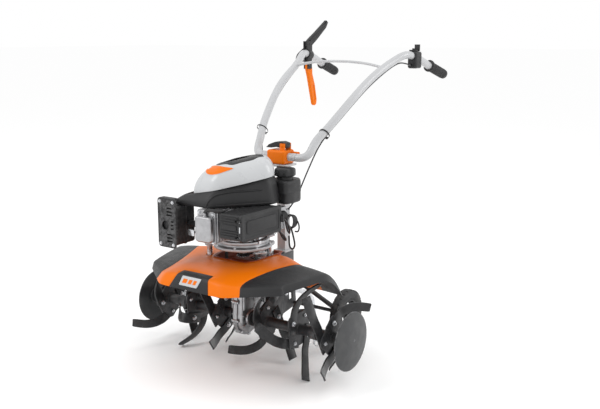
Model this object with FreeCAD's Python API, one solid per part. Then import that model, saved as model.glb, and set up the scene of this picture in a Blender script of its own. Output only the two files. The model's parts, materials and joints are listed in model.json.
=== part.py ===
"""Walk-behind tiller, millimetres.  +X is the machine's left, -Y is its front, +Z is up.

Every shape is drawn about the point on the ground under the rotor axle, and
save() moves it by FRAME_SHIFT_Y, so that the origin is at the base centre.
"""
import FreeCAD
import Part
import math
import os

V = FreeCAD.Vector

# Driving dimensions
FRAME_SHIFT_Y = -333.17
AXLE_Z = 160.0
TIP_RADIUS = 163.6
SHAFT_R = 12.5
ROTOR_TUBE_R = 17.0
STAR_X = (93.0, 220.0, 352.0)
STAR_PHASES_LEFT = (28.0, -102.0, 30.0)
STAR_PHASES_RIGHT = (30.0, -102.0, 28.0)
FIRST_SIDES_LEFT = (-1.0, 1.0, 1.0)
FIRST_SIDES_RIGHT = (1.0, -1.0, -1.0)
PLATE_T = 5.0
PLATE_CORNER_R = 72.0
PLATE_CORNER_ANGLE = 62.0
TINE_W = 36.0
TINE_T = 5.0
TINE_REACH = 56.0
TINE_BEND_START = 0.42
TINE_BOLT = (20.0, 46.0)
# Flat centre line of a tine: distance out along its tip direction, and offset from the radius.
TINE_LINE = ((-16.0, 47.0), (10.0, 47.0), (45.0, 46.0), (75.0, 42.0), (105.0, 33.0), (130.0, 17.0), (156.0, -8.5))
DISC_X = 430.0
DISC_R = 95.0
PIN_R = 4.0
INNER_PIN_X = 58.0
OUTER_PIN_X = 280.0

CRANK_Y = -12.0
WORM_Y = 56.0
DECK_TOP = 345.0
FLANGE_BOTTOM = 412.0
STANDOFFS = ((-100.0, -66.0), (62.0, 54.0), (-70.0, 70.0))

BAR_R = 14.0
CLAMP_Y = 200.0
CLAMP_Z = 688.0
BAR_POINTS = (
    (103.0, 208.0, 694.0),
    (118.0, 238.0, 736.0),
    (133.0, 272.0, 772.0),
    (150.0, 321.0, 816.0),
    (168.0, 388.0, 873.0),
    (183.0, 468.0, 931.0),
    (197.0, 569.0, 984.0),
    (214.0, 626.0, 1012.0),
    (230.0, 672.0, 1028.0),
    (237.0, 720.0, 1022.0),
    (246.0, 820.0, 988.0),
    (255.0, 934.0, 951.0),
)
GRIP_LENGTH = 118.0
CAM_Z = 727.0
AIR_HINGE_X = 146.0
AIR_HINGE_Y = -207.0
LEVER_Y = 709.0
FORWARD_Z = 1064.0
REVERSE_Z = 980.0

WHEEL_X = 240.0
WHEEL_Y = 258.0
WHEEL_Z = 144.0
WHEEL_R = 87.0
SWING_Y = 150.0
SWING_Z = 127.0
SPUR_Y = 185.0
SPUR_Z = 200.0

HOOD_SCREWS = ((14.0, -66.0, 362.0), (-44.0, -66.0, 362.0))
HOOD_T = 3.0
HOOD_COLUMNS = (
    ((0, -280, 321), (0, -264, 365), (0, -208, 374), (0, -130, 377), (0, -60, 379), (0, 76, 379),
     (0, 122, 338), (0, 160, 250)),
    ((70, -280, 321), (68, -264, 364), (62, -207, 374), (58, -130, 377), (58, -60, 379), (66, 76, 379),
     (70, 122, 338), (70, 160, 250)),
    ((131, -279, 322), (120, -262, 358), (106, -206, 372), (106, -130, 377), (112, -60, 379),
     (128, 66, 379), (136, 116, 338), (136, 160, 250)),
    ((173, -246, 324), (163, -230, 347), (154, -199, 357), (166, -130, 366), (184, -60, 375),
     (214, 8, 378), (214, 88, 336), (208, 160, 250)),
    ((224, -207, 324), (218, -194, 348), (212, -178, 355), (226, -120, 361), (240, -60, 367),
     (268, 16, 371), (262, 90, 328), (246, 162, 247)),
    ((272, -169, 325), (270, -162, 347), (266, -153, 354), (280, -106, 356), (294, -60, 358),
     (312, 22, 361), (302, 93, 318), (284, 163, 245)),
    ((273, -163, 324), (273, -156, 325), (272, -146, 327), (284, -104, 331), (298, -60, 334),
     (315, 24, 336), (306, 90, 300), (288, 157, 242)),
)
HOOD_SPLIT = 3
BLOWER_PLAN = ((-150.0, -181.0), (4.0, -184.0), (126.0, -14.0), (122.0, 38.0), (52.0, 44.0),
               (52.0, 128.0), (-60.0, 140.0), (-138.0, 92.0))
COVER_PLAN = ((-84.0, -163.0), (6.0, -160.0), (72.0, -92.0), (119.0, -14.0), (108.0, 30.0), (50.0, 38.0),
              (44.0, 116.0), (-50.0, 124.0), (-112.0, 74.0), (-112.0, -90.0))
VENT_PLAN = ((-34.0, -96.0), (26.0, -92.0), (66.0, -36.0), (70.0, 8.0), (30.0, 66.0), (-46.0, 72.0),
             (-74.0, 30.0), (-70.0, -60.0))

os.makedirs("parts", exist_ok=True)


# Helpers

def save(name, shape):
    """Write one node, moved into the row frame."""
    out = shape.copy()
    out.translate(V(0, FRAME_SHIFT_Y, 0))
    out.exportStep("parts/" + name + ".step")
    print(name, "solids", len(out.Solids), "valid", out.isValid(), round(out.Volume))


def cyl(radius, height, base, axis=(0, 0, 1)):
    return Part.makeCylinder(radius, height, V(*base), V(*axis))


def ring(r_out, r_in, height, base, axis=(0, 0, 1)):
    return cyl(r_out, height, base, axis).cut(cyl(r_in, height, base, axis))


def box(x0, x1, y0, y1, z0, z1):
    return Part.makeBox(x1 - x0, y1 - y0, z1 - z0, V(x0, y0, z0))


def fuse(shapes):
    first = shapes[0]
    return first.fuse(list(shapes[1:])).removeSplitter() if len(shapes) > 1 else first


def mirror_x(shape):
    return shape.mirror(V(0, 0, 0), V(1, 0, 0))


def prism_z(points, z0, z1):
    """Upright prism over a plan outline."""
    wire = Part.makePolygon([V(x, y, z0) for x, y in points] + [V(points[0][0], points[0][1], z0)])
    return Part.Face(wire).extrude(V(0, 0, z1 - z0))


def prism_x(points, x0, x1):
    """Prism along X over a side-view outline of (y, z) points."""
    wire = Part.makePolygon([V(x0, y, z) for y, z in points] + [V(x0, points[0][0], points[0][1])])
    return Part.Face(wire).extrude(V(x1 - x0, 0, 0))


def hexagon(radius, height, base, axis):
    """Hexagonal head with its flats parallel to the axis."""
    circle = Part.Circle(V(*base), V(*axis), radius)
    corners = circle.toShape().discretize(7)
    return Part.Face(Part.makePolygon(corners)).extrude(V(*axis) * height)


def bolt(radius, length, base, axis, head_r=None, head_h=None):
    """Shank from base along axis, with a hex head behind base."""
    head_r = head_r or radius * 1.8
    head_h = head_h or radius * 1.1
    back = (-axis[0], -axis[1], -axis[2])
    return fuse([cyl(radius, length, base, axis), hexagon(head_r, head_h, base, back)])


def soften(shape, radius):
    """Round the upright and level edges that accept the radius."""
    try:
        out = shape.makeFillet(radius, shape.Edges)
        return out if out.isValid() else shape
    except Part.OCCError:
        return shape


def sweep_round(points, radius, tangent=None):
    """Round bar along a smooth curve through the points."""
    curve = Part.BSplineCurve()
    curve.interpolate([V(*p) for p in points])
    direction = curve.tangent(curve.FirstParameter)[0]
    profile = Part.Wire(Part.Circle(V(*points[0]), direction, radius).toShape())
    return Part.Wire(curve.toShape()).makePipeShell([profile], True, True)


def bend_radius(before, corner, after):
    run_in = (V(*corner) - V(*before)).Length
    run_out = (V(*after) - V(*corner)).Length
    turn = (V(*corner) - V(*before)).getAngle(V(*after) - V(*corner))
    return 0.45 * min(run_in, run_out) / math.tan(turn / 2.0), turn


def cord_solid(name, points, radius):
    """Cable whose straight runs are joined by tangent arcs."""
    edges = []
    here = V(*points[0])
    length = 0.0
    tightest = 1e9
    for before, corner, after in zip(points, points[1:], points[2:]):
        bend, turn = bend_radius(before, corner, after)
        setback = bend * math.tan(turn / 2.0)
        node = V(*corner)
        back = (V(*before) - node).normalize()
        ahead = (V(*after) - node).normalize()
        start = node + back * setback
        end = node + ahead * setback
        inward = (back + ahead).normalize()
        mid = node + inward * (bend / math.cos(turn / 2.0) - bend)
        edges.append(Part.makeLine(here, start))
        edges.append(Part.Arc(start, mid, end).toShape())
        length += (start - here).Length + bend * turn
        tightest = min(tightest, bend)
        here = end
    edges.append(Part.makeLine(here, V(*points[-1])))
    length += (V(*points[-1]) - here).Length
    wire = Part.Wire(edges)
    direction = V(*points[1]) - V(*points[0])
    profile = Part.Wire(Part.Circle(V(*points[0]), direction, radius).toShape())
    solid = wire.makePipeShell([profile], True, False)
    ratio = solid.Volume / (math.pi * radius * radius * length)
    print(name, "length", round(length), "tightest bend", round(tightest, 1), "volume ratio", round(ratio, 3))
    return solid


def surface_normals(grid):
    """Averaged normals at the vertices of a grid of points."""
    rows = len(grid)
    cols = len(grid[0])
    out = []
    for i in range(rows):
        line = []
        for j in range(cols):
            down = grid[min(i + 1, rows - 1)][j] - grid[max(i - 1, 0)][j]
            across = grid[i][min(j + 1, cols - 1)] - grid[i][max(j - 1, 0)]
            line.append(down.cross(across).normalize())
        out.append(line)
    return out


def skin_solid(outer, inner):
    """Closed sheet between two grids of the same shape."""
    rows = len(outer)
    cols = len(outer[0])
    faces = []

    def tri(a, b, c):
        if (b - a).cross(c - a).Length > 1e-6:
            faces.append(Part.Face(Part.makePolygon([a, b, c, a])))

    def quad(a, b, c, d):
        tri(a, b, c)
        tri(a, c, d)

    for i in range(rows - 1):
        for j in range(cols - 1):
            quad(outer[i][j], outer[i + 1][j], outer[i + 1][j + 1], outer[i][j + 1])
            quad(inner[i][j], inner[i][j + 1], inner[i + 1][j + 1], inner[i + 1][j])
    for i in range(rows - 1):
        quad(outer[i][0], inner[i][0], inner[i + 1][0], outer[i + 1][0])
        quad(outer[i][-1], outer[i + 1][-1], inner[i + 1][-1], inner[i][-1])
    for j in range(cols - 1):
        quad(outer[0][j], outer[0][j + 1], inner[0][j + 1], inner[0][j])
        quad(outer[-1][j], inner[-1][j], inner[-1][j + 1], outer[-1][j + 1])
    solid = Part.makeSolid(Part.makeShell(faces))
    if solid.Volume < 0:
        solid.reverse()
    return solid


# Rotor

def tine_path(s, side):
    """Point at share s of a tine's centre line, which bends to one side past the carrier."""
    curve = Part.BSplineCurve()
    curve.interpolate([V(0, u, v) for u, v in TINE_LINE])
    first = curve.FirstParameter
    flat = curve.value(first + (curve.LastParameter - first) * min(1.0, max(0.0, s)))
    bend = max(0.0, (s - TINE_BEND_START) / (1.0 - TINE_BEND_START)) ** 1.5
    lie = (PLATE_T + TINE_T) / 2
    return V(side * (lie + (TINE_REACH - lie) * bend), flat.y, flat.z)


def tine_solid(side):
    """One sickle blade, its tip leaning to the given side and pointing along +Y."""
    sections = []
    for i in range(17):
        s = i / 16.0
        here = tine_path(s, side)
        ahead = (tine_path(s + 0.01, side) - tine_path(s - 0.01, side)).normalize()
        across = V(0, 0, 1)
        across = (across - ahead * across.dot(ahead)).normalize()
        through = ahead.cross(across)
        a = across * (TINE_W / 2 * (1.0 - 0.1 * s))
        b = through * (TINE_T / 2)
        corners = [here + a + b, here - a + b, here - a - b, here + a - b]
        sections.append(Part.makePolygon(corners + [corners[0]]))
    blade = Part.makeLoft(sections, True, True)
    hole = cyl(4.1, 40.0, (-20.0, *TINE_BOLT), (1, 0, 0))
    keep = cyl(TIP_RADIUS, 200.0, (-100.0, 0, 0), (1, 0, 0))
    return blade.common(keep).cut(hole)


def placed(shape, x, phase):
    out = shape.copy()
    out.rotate(V(0, 0, 0), V(1, 0, 0), phase)
    out.translate(V(x, 0, AXLE_Z))
    return out


def star_plate(x, phase):
    """Square tine carrier with clipped corners and a bolt hole for each tine."""
    outline = []
    for quarter in range(4):
        for lean in (-6.0, 6.0):
            angle = math.radians(PLATE_CORNER_ANGLE + 90.0 * quarter + lean)
            outline.append((PLATE_CORNER_R * math.cos(angle), PLATE_CORNER_R * math.sin(angle)))
    plate = prism_x(outline, -PLATE_T / 2, PLATE_T / 2)
    holes = []
    for quarter in range(4):
        hole = cyl(4.1, 20.0, (-10.0, *TINE_BOLT), (1, 0, 0))
        hole.rotate(V(0, 0, 0), V(1, 0, 0), 90.0 * quarter)
        holes.append(hole)
    return placed(plate.cut(fuse(holes)), x, phase)


def star_tines(x, phase, first_side):
    tines = []
    for quarter in range(4):
        side = first_side if quarter % 2 == 0 else -first_side
        tines.append(placed(tine_solid(side), x, phase + 90.0 * quarter))
    return tines


def star_bolts(x, phase, first_side):
    """Hex bolt through each tine and the carrier, with a nut on the far face."""
    out = []
    for quarter in range(4):
        side = first_side if quarter % 2 == 0 else -first_side
        start = side * (PLATE_T / 2 + TINE_T)
        piece = bolt(4.0, PLATE_T + TINE_T + 6.0, (start, *TINE_BOLT), (-side, 0, 0), 7.5, 5.3)
        nut = hexagon(7.5, 5.0, (-side * PLATE_T / 2, *TINE_BOLT), (-side, 0, 0))
        out.append(placed(fuse([piece, nut]), x, phase + 90.0 * quarter))
    return out


def pin_holes(x):
    return cyl(PIN_R + 0.05, 80.0, (x, 0, AXLE_Z - 40.0))


def inner_rotor(side, phases):
    """Sleeve over the output shaft with two tine carriers."""
    tube = cyl(ROTOR_TUBE_R, 262.0, (side * 38.0, 0, AXLE_Z), (side, 0, 0))
    collars = [cyl(22.0, 14.0, (side * 51.0, 0, AXLE_Z), (side, 0, 0)),
               cyl(22.0, 26.0, (side * 270.0, 0, AXLE_Z), (side, 0, 0))]
    plates = [star_plate(side * STAR_X[i], phases[i]) for i in (0, 1)]
    body = fuse([tube] + collars + plates)
    bore = cyl(SHAFT_R, 300.0, (side * 30.0, 0, AXLE_Z), (side, 0, 0))
    body = body.cut(bore)
    return body.cut(fuse([pin_holes(side * INNER_PIN_X), pin_holes(side * OUTER_PIN_X)]))


def outer_rotor(side, phases):
    """Plug-in extension with the outer carrier and the flange for the plant disc."""
    plug = cyl(SHAFT_R, 52.0, (side * 250.0, 0, AXLE_Z), (side, 0, 0))
    tube = cyl(ROTOR_TUBE_R, DISC_X - 306.0, (side * 300.0, 0, AXLE_Z), (side, 0, 0))
    flange = cyl(30.0, 4.0, (side * (DISC_X - 10.0), 0, AXLE_Z), (side, 0, 0))
    body = fuse([plug, tube, flange, star_plate(side * STAR_X[2], phases[2])])
    body = body.cut(cyl(9.0, 110.0, (side * 312.0, 0, AXLE_Z), (side, 0, 0)))
    return body.cut(pin_holes(side * OUTER_PIN_X))


def plant_disc(side):
    """Shallow dished disc, its centre outermost."""
    t = 3.0
    rise = 9.0
    r = DISC_R
    rim = DISC_X - rise
    outer = [V(DISC_X, 0, 0), V(DISC_X - 2.2, r * 0.5, 0), V(rim, r, 0)]
    inner = [V(rim - t, r, 0), V(DISC_X - 2.2 - t, r * 0.5, 0), V(DISC_X - t, 0, 0)]
    edges = [Part.Arc(*outer).toShape(), Part.makeLine(outer[2], inner[0]),
             Part.Arc(*inner).toShape(), Part.makeLine(inner[2], outer[0])]
    profile = Part.Face(Part.Wire(edges))
    disc = profile.revolve(V(0, 0, 0), V(1, 0, 0), 360)
    hub = cyl(28.0, 4.0, (DISC_X - 6.0, 0, 0), (1, 0, 0))
    disc = fuse([disc, hub])
    disc.translate(V(0, 0, AXLE_Z))
    return disc if side > 0 else mirror_x(disc)


def hitch_pin(x, flip):
    """Clevis pin with a flat head and a spring ring through its tip."""
    up = 1.0 if flip else -1.0
    pin = cyl(PIN_R, 66.0, (x, 0, AXLE_Z - up * 27.0), (0, 0, up))
    head = cyl(7.5, 4.0, (x, 0, AXLE_Z - up * 31.0), (0, 0, up))
    clip = Part.makeTorus(9.0, 1.4, V(x + 7.5, 0, AXLE_Z + up * 34.5), V(0, 1, 0))
    return fuse([pin, head, clip])


def build_rotor():
    shaft = cyl(SHAFT_R, 200.0, (-100.0, 0, AXLE_Z), (1, 0, 0))
    shaft = shaft.cut(fuse([pin_holes(INNER_PIN_X), pin_holes(-INNER_PIN_X)]))
    save("output_shaft", fuse([shaft, worm_wheel()]))
    left = STAR_PHASES_LEFT
    right = STAR_PHASES_RIGHT
    save("inner_rotor_left", inner_rotor(1.0, left))
    save("inner_rotor_right", inner_rotor(-1.0, right))
    save("outer_rotor_left", outer_rotor(1.0, left))
    save("outer_rotor_right", outer_rotor(-1.0, right))
    tines = []
    bolts = []
    for i in range(3):
        tines += star_tines(STAR_X[i], left[i], FIRST_SIDES_LEFT[i])
        bolts += star_bolts(STAR_X[i], left[i], FIRST_SIDES_LEFT[i])
    save("tines_left", Part.makeCompound(tines))
    tines = []
    for i in range(3):
        tines += star_tines(-STAR_X[i], right[i], FIRST_SIDES_RIGHT[i])
        bolts += star_bolts(-STAR_X[i], right[i], FIRST_SIDES_RIGHT[i])
    save("tines_right", Part.makeCompound(tines))
    pins = [hitch_pin(x, x < 0) for x in (INNER_PIN_X, -INNER_PIN_X, OUTER_PIN_X, -OUTER_PIN_X)]
    save("rotor_fasteners", Part.makeCompound(bolts + pins))
    save("plant_disc_left", plant_disc(1.0))
    save("plant_disc_right", plant_disc(-1.0))


# Gearbox

def worm_wheel():
    """Toothed wheel on the output shaft."""
    teeth = 24
    points = []
    for i in range(teeth):
        for step, radius in ((0.0, 42.0), (0.22, 45.6), (0.5, 45.6), (0.72, 42.0)):
            angle = 2 * math.pi * (i + step) / teeth
            points.append((radius * math.cos(angle), AXLE_Z + radius * math.sin(angle)))
    wheel = prism_x(points, -9.0, 9.0)
    hub = cyl(22.0, 34.0, (-17.0, 0, AXLE_Z), (1, 0, 0))
    return fuse([wheel, hub])


def gearbox_outline(drum_r, front, rear, top):
    """Side view: a drum round the axle with a neck rising from it."""
    points = []
    for i in range(0, 19):
        angle = math.pi + math.pi * i / 18
        points.append((drum_r * math.cos(angle), AXLE_Z + drum_r * math.sin(angle)))
    points[0] = (front, AXLE_Z)
    points[-1] = (drum_r, AXLE_Z - 10.0)
    return points + [(rear, AXLE_Z + 18.0), (rear, top), (front + 6.0, top), (front, top - 60.0)]


def build_gearbox():
    top = 334.0
    shell = prism_x(gearbox_outline(54.0, -54.0, 80.0, top), -24.0, 24.0)
    lip = prism_x(gearbox_outline(62.0, -62.0, 88.0, top), -7.0, 7.0)
    flange = box(-58.0, 58.0, -70.0, 96.0, top - 10.0, top)
    boss = cyl(31.0, 60.0, (-30.0, 0, AXLE_Z), (1, 0, 0))
    ribs = [box(-28.0, 28.0, -50.0, -44.0, 190.0, top - 10.0),
            box(-28.0, 28.0, 8.0, 14.0, 200.0, top - 10.0),
            box(-28.0, 28.0, 70.0, 76.0, 190.0, top - 10.0)]
    screw_spots = [(-58.0 * math.cos(a), AXLE_Z + 58.0 * math.sin(a)) for a in
                   (math.radians(-90), math.radians(-45), math.radians(-135), math.radians(0))]
    screw_spots += [(-57.0, 225.0), (-57.0, 290.0), (83.0, 290.0), (83.0, 225.0)]
    pads = [cyl(7.0, 22.0, (-11.0, y, z), (1, 0, 0)) for y, z in screw_spots]
    casting = fuse([shell, lip, flange, boss] + ribs + pads)
    cavity = fuse([cyl(48.5, 36.0, (-18.0, 0, AXLE_Z), (1, 0, 0)),
                   cyl(17.0, 210.0, (0, WORM_Y, 112.0)),
                   cyl(SHAFT_R + 0.05, 80.0, (-40.0, 0, AXLE_Z), (1, 0, 0)),
                   cyl(8.05, 60.0, (0, WORM_Y, 300.0))])
    holes = [cyl(3.05, 40.0, (-20.0, y, z), (1, 0, 0)) for y, z in screw_spots]
    holes += [cyl(6.4, 20.0, (s * 11.0, y, z), (s, 0, 0)) for y, z in screw_spots for s in (1.0, -1.0)]
    casting = casting.cut(fuse([cavity] + holes))
    save("gearbox_half_left", casting.common(box(0, 100, -200, 200, 0, 400)))
    save("gearbox_half_right", casting.common(box(-100, 0, -200, 200, 0, 400)))
    seals = [ring(27.0, SHAFT_R + 0.06, 6.0, (s * 30.0, 0, AXLE_Z), (s, 0, 0)) for s in (1.0, -1.0)]
    save("axle_seals", Part.makeCompound(seals))
    screws = [bolt(3.0, 27.0, (11.0, y, z), (-1, 0, 0), 5.4, 4.0) for y, z in screw_spots]
    return screws


def build_input():
    """Worm on an upright shaft, with the driven belt pulley on top."""
    core = cyl(8.0, 280.0, (0, WORM_Y, 114.0))
    turns = [cyl(9.6, 3.0, (0, WORM_Y, 122.0 + 9.0 * i)) for i in range(9)]
    pulley = pulley_solid(WORM_Y, 42.0, 376.0, 16.0)
    save("worm_shaft", fuse([core] + turns + [pulley]))


def pulley_solid(y, radius, z, width):
    """V-grooved pulley on an upright axis."""
    depth = 9.0
    body = cyl(radius, width, (0, y, z))
    groove = [V(radius + 0.1, 0, z + 2.0), V(radius - depth, 0, z + width / 2 - 2.0),
              V(radius - depth, 0, z + width / 2 + 2.0), V(radius + 0.1, 0, z + width - 2.0)]
    face = Part.Face(Part.makePolygon(groove + [groove[0]]))
    cutter = face.revolve(V(0, 0, 0), V(0, 0, 1), 360)
    cutter.translate(V(0, y, 0))
    return body.cut(cutter)


def build_drive():
    crank = cyl(11.0, 212.0, (0, CRANK_Y, 374.0))
    web = cyl(52.0, 14.0, (0, CRANK_Y, 470.0)).common(box(-26, 26, -80, 80, 400, 600))
    pulley = pulley_solid(CRANK_Y, 22.0, 376.0, 16.0)
    save("crankshaft", fuse([crank, web, pulley]))
    hub = ring(24.0, 11.05, 10.0, (0, CRANK_Y, 576.0))
    disc = ring(80.0, 11.05, 5.0, (0, CRANK_Y, 576.0))
    blades = []
    for i in range(16):
        blade = box(30.0, 78.0, CRANK_Y - 1.5, CRANK_Y + 1.5, 581.0, 600.0)
        blade.rotate(V(0, CRANK_Y, 0), V(0, 0, 1), 22.5 * i)
        blades.append(blade)
    save("flywheel", fuse([disc, hub] + blades))
    save("drive_belt", belt_solid())
    save("idler_forward", idler(1.0))
    save("idler_reverse", idler(-1.0))


def belt_loop(grow, z0, z1):
    """Tight loop round the two pulleys, its inner face at the groove."""
    r1 = 13.5 + grow
    r2 = 33.5 + grow
    small = cyl(r1, z1 - z0, (0, CRANK_Y, z0))
    large = cyl(r2, z1 - z0, (0, WORM_Y, z0))
    span = WORM_Y - CRANK_Y
    tilt = math.asin((r2 - r1) / span)
    points = [(r1 * math.cos(tilt), CRANK_Y - r1 * math.sin(tilt)),
              (r2 * math.cos(tilt), WORM_Y - r2 * math.sin(tilt)),
              (-r2 * math.cos(tilt), WORM_Y - r2 * math.sin(tilt)),
              (-r1 * math.cos(tilt), CRANK_Y - r1 * math.sin(tilt))]
    return fuse([small, large, prism_z(points, z0, z1)])


def belt_solid():
    mid = 384.0
    return belt_loop(6.0, mid - 2.4, mid + 2.4).cut(belt_loop(0.4, mid - 5.0, mid + 5.0))


def idler(side):
    """Tension arm that swings a flat roller towards the belt."""
    pivot = (side * 64.0, -22.0)
    roller = (side * 52.0, 22.0)
    arm = prism_z([(pivot[0] - 8, pivot[1] - 8), (pivot[0] + 8, pivot[1] - 8),
                   (roller[0] + 7, roller[1] + 7), (roller[0] - 7, roller[1] + 7)], 394.0, 398.0)
    wheel = ring(12.0, 4.0, 14.0, (roller[0], roller[1], 377.0))
    post = cyl(4.0, 22.0, (roller[0], roller[1], 376.0))
    sleeve = cyl(7.0, 6.0, (pivot[0], pivot[1], 394.0))
    horn = prism_z([(pivot[0] - 5, pivot[1] - 6), (pivot[0] + 5, pivot[1] - 6),
                    (pivot[0] + side * 18 + 4, pivot[1] + 26), (pivot[0] + side * 18 - 4, pivot[1] + 26)],
                   394.0, 398.0)
    body = fuse([arm, wheel, post, sleeve, horn])
    return body.cut(cyl(5.05, 40.0, (pivot[0], pivot[1], 370.0)))


# Frame, hood and deck

def build_frame(gear_screws):
    deck = prism_z([(-108, -100), (60, -100), (92, -60), (92, 82), (46, 98), (40, 150), (-40, 150), (-46, 98), (-92, 82),
                    (-108, 60)], DECK_TOP - 5.0, DECK_TOP)
    beam = box(-28.0, 28.0, 98.0, 240.0, 300.0, DECK_TOP - 5.0)
    beam = beam.cut(box(-25.0, 25.0, 100.0, 236.0, 303.0, DECK_TOP - 5.0))
    tail = box(-28.0, 28.0, 98.0, 240.0, DECK_TOP - 5.0, DECK_TOP)
    side_plate = [(100.0, 305.0), (100.0, 112.0), (118.0, 96.0), (168.0, 110.0), (206.0, 170.0),
                  (206.0, 305.0)]
    posts = [prism_x(side_plate, 22.0, 27.0), prism_x(side_plate, -27.0, -22.0)]
    spacer = box(-22.0, 22.0, 100.0, 104.0, 240.0, 300.0)
    pivots = [cyl(5.0, 62.0, (s * 64.0, -22.0, DECK_TOP)) for s in (1.0, -1.0)]
    frame = fuse([deck, beam, tail, spacer] + posts + pivots)
    cuts = [cyl(30.0, 40.0, (0, WORM_Y, 320.0)),
            cyl(6.02, 80.0, (-40.0, SWING_Y, SWING_Z), (1, 0, 0)),
            cyl(6.02, 80.0, (-40.0, SPUR_Y, SPUR_Z), (1, 0, 0))]
    cuts += [cyl(4.1, 30.0, (x, y, 330.0)) for x, y in STANDOFFS]
    save("chassis_frame", frame.cut(fuse(cuts)))
    legs = []
    for x, y in STANDOFFS:
        leg = fuse([cyl(9.0, FLANGE_BOTTOM - DECK_TOP, (x, y, DECK_TOP)),
                    hexagon(13.0, 10.0, (x, y, DECK_TOP + 20.0), (0, 0, 1)),
                    cyl(12.0, 3.0, (x, y, FLANGE_BOTTOM - 3.0)),
                    cyl(4.0, 12.0, (x, y, DECK_TOP - 12.0))])
        legs.append(leg)
    save("engine_standoffs", Part.makeCompound(legs))
    caps = [hexagon(8.0, 6.0, (s * 48.0, y, DECK_TOP), (0, 0, 1)) for s in (1.0, -1.0) for y in (-58.0, 84.0)]
    hood_caps = [fuse([cyl(5.5, 2.4, (x, y, z)), cyl(3.0, 3.2, (x, y, z))]) for x, y, z in HOOD_SCREWS]
    pins = [fuse([cyl(6.0, 60.0, (-30.0, SPUR_Y, SPUR_Z), (1, 0, 0)),
                  hexagon(10.0, 6.0, (30.0, SPUR_Y, SPUR_Z), (1, 0, 0)),
                  hexagon(10.0, 6.0, (-30.0, SPUR_Y, SPUR_Z), (-1, 0, 0))]),
            fuse([cyl(6.0, 58.0, (-29.0, SWING_Y, SWING_Z), (1, 0, 0)),
                  cyl(9.5, 1.9, (27.0, SWING_Y, SWING_Z), (1, 0, 0)),
                  cyl(9.5, 1.9, (-27.0, SWING_Y, SWING_Z), (-1, 0, 0))])]
    save("chassis_screws", Part.makeCompound(gear_screws + caps + hood_caps + pins))


# Half hood, from the centre line outwards: each column runs from the front edge to the rear edge.


def hood_grids():
    """Outer and inner vertex grids of the right and left halves together."""
    half = [[V(*p) for p in column] for column in HOOD_COLUMNS]
    other = [[V(-p.x, p.y, p.z) for p in column] for column in half[:0:-1]]
    outer = other + half
    inner = []
    for column, normals in zip(outer, surface_normals(outer)):
        inner.append([p - n * HOOD_T if n.z > 0 else p + n * HOOD_T for p, n in zip(column, normals)])
    return outer, inner


def build_hood():
    outer, inner = hood_grids()
    last = len(HOOD_COLUMNS) - 1
    low = last - HOOD_SPLIT
    high = last + HOOD_SPLIT
    centre = skin_solid(outer[low:high + 1], inner[low:high + 1])
    opening = fuse([prism_z([(-66, -84), (66, -84), (84, -40), (84, 96), (-84, 96), (-84, -40)], 340, 420),
                    box(-48, 48, 90, 200, 200, 420)])
    legs = fuse([cyl(14.0, 80.0, (x, y, 340.0)) for x, y in STANDOFFS])
    panel_cut = panel_block(0.4)
    centre = centre.cut(opening).cut(legs).cut(panel_cut)
    save("hood_centre", centre)
    save("fender_right", skin_solid(outer[:low + 1], inner[:low + 1]).cut(legs))
    save("fender_left", skin_solid(outer[high:], inner[high:]).cut(legs))
    save("front_panel", fuse([panel_block(0.0).common(panel_shell()), badge_block()]))
    pan = prism_z([(-65, -83), (65, -83), (83, -40), (83, 95), (-83, 95), (-83, -40)], 352, 376)
    pan = pan.cut(prism_z([(-62, -80), (62, -80), (80, -38), (80, 92), (-80, 92), (-80, -38)], 355, 380))
    holes = [cyl(20.0, 40.0, (0, WORM_Y, 330.0))] + [cyl(14.0, 80.0, (x, y, 340.0)) for x, y in STANDOFFS]
    holes += [cyl(5.05, 40.0, (s * 64.0, -22.0, 340.0)) for s in (1.0, -1.0)]
    holes += [box(-48, 48, 90, 200, 200, 420)]
    pads = [cyl(9.0, 7.0, (x, y, 355.0)) for x, y, z in HOOD_SCREWS]
    save("belt_tray", fuse([pan] + pads).cut(fuse(holes)))


def panel_block(grow):
    """Wedge-sided region of the front facet that the dark panel fills."""
    g = grow
    points = [(-92 - g, 310), (-58 - g, 372.5 + g), (60 + g, 372.5 + g), (80 + g, 310)]
    wire = Part.makePolygon([V(x, -300, z) for x, z in points] + [V(points[0][0], -300, points[0][1])])
    return Part.Face(wire).extrude(V(0, 62, 0))


def panel_shell():
    """The hood's own front, stood forward by one millimetre."""
    outer, inner = hood_grids()
    last = len(HOOD_COLUMNS) - 1
    sheet = skin_solid(outer[last - 3:last + 4], inner[last - 3:last + 4])
    return sheet


def badge_block():
    """Blank name plate lying on the sloping panel."""
    lean = math.degrees(math.atan2(16.0, 44.0))
    plate = Part.makeBox(78.0, 2.0, 33.0, V(-41.0, -283.2, 327.0))
    plate.rotate(V(0, -280.0, 321.0), V(1, 0, 0), -lean)
    return plate


# Engine

def build_engine():
    build_block()
    build_covers()
    build_intake()
    build_exhaust()
    build_tank()


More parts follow.
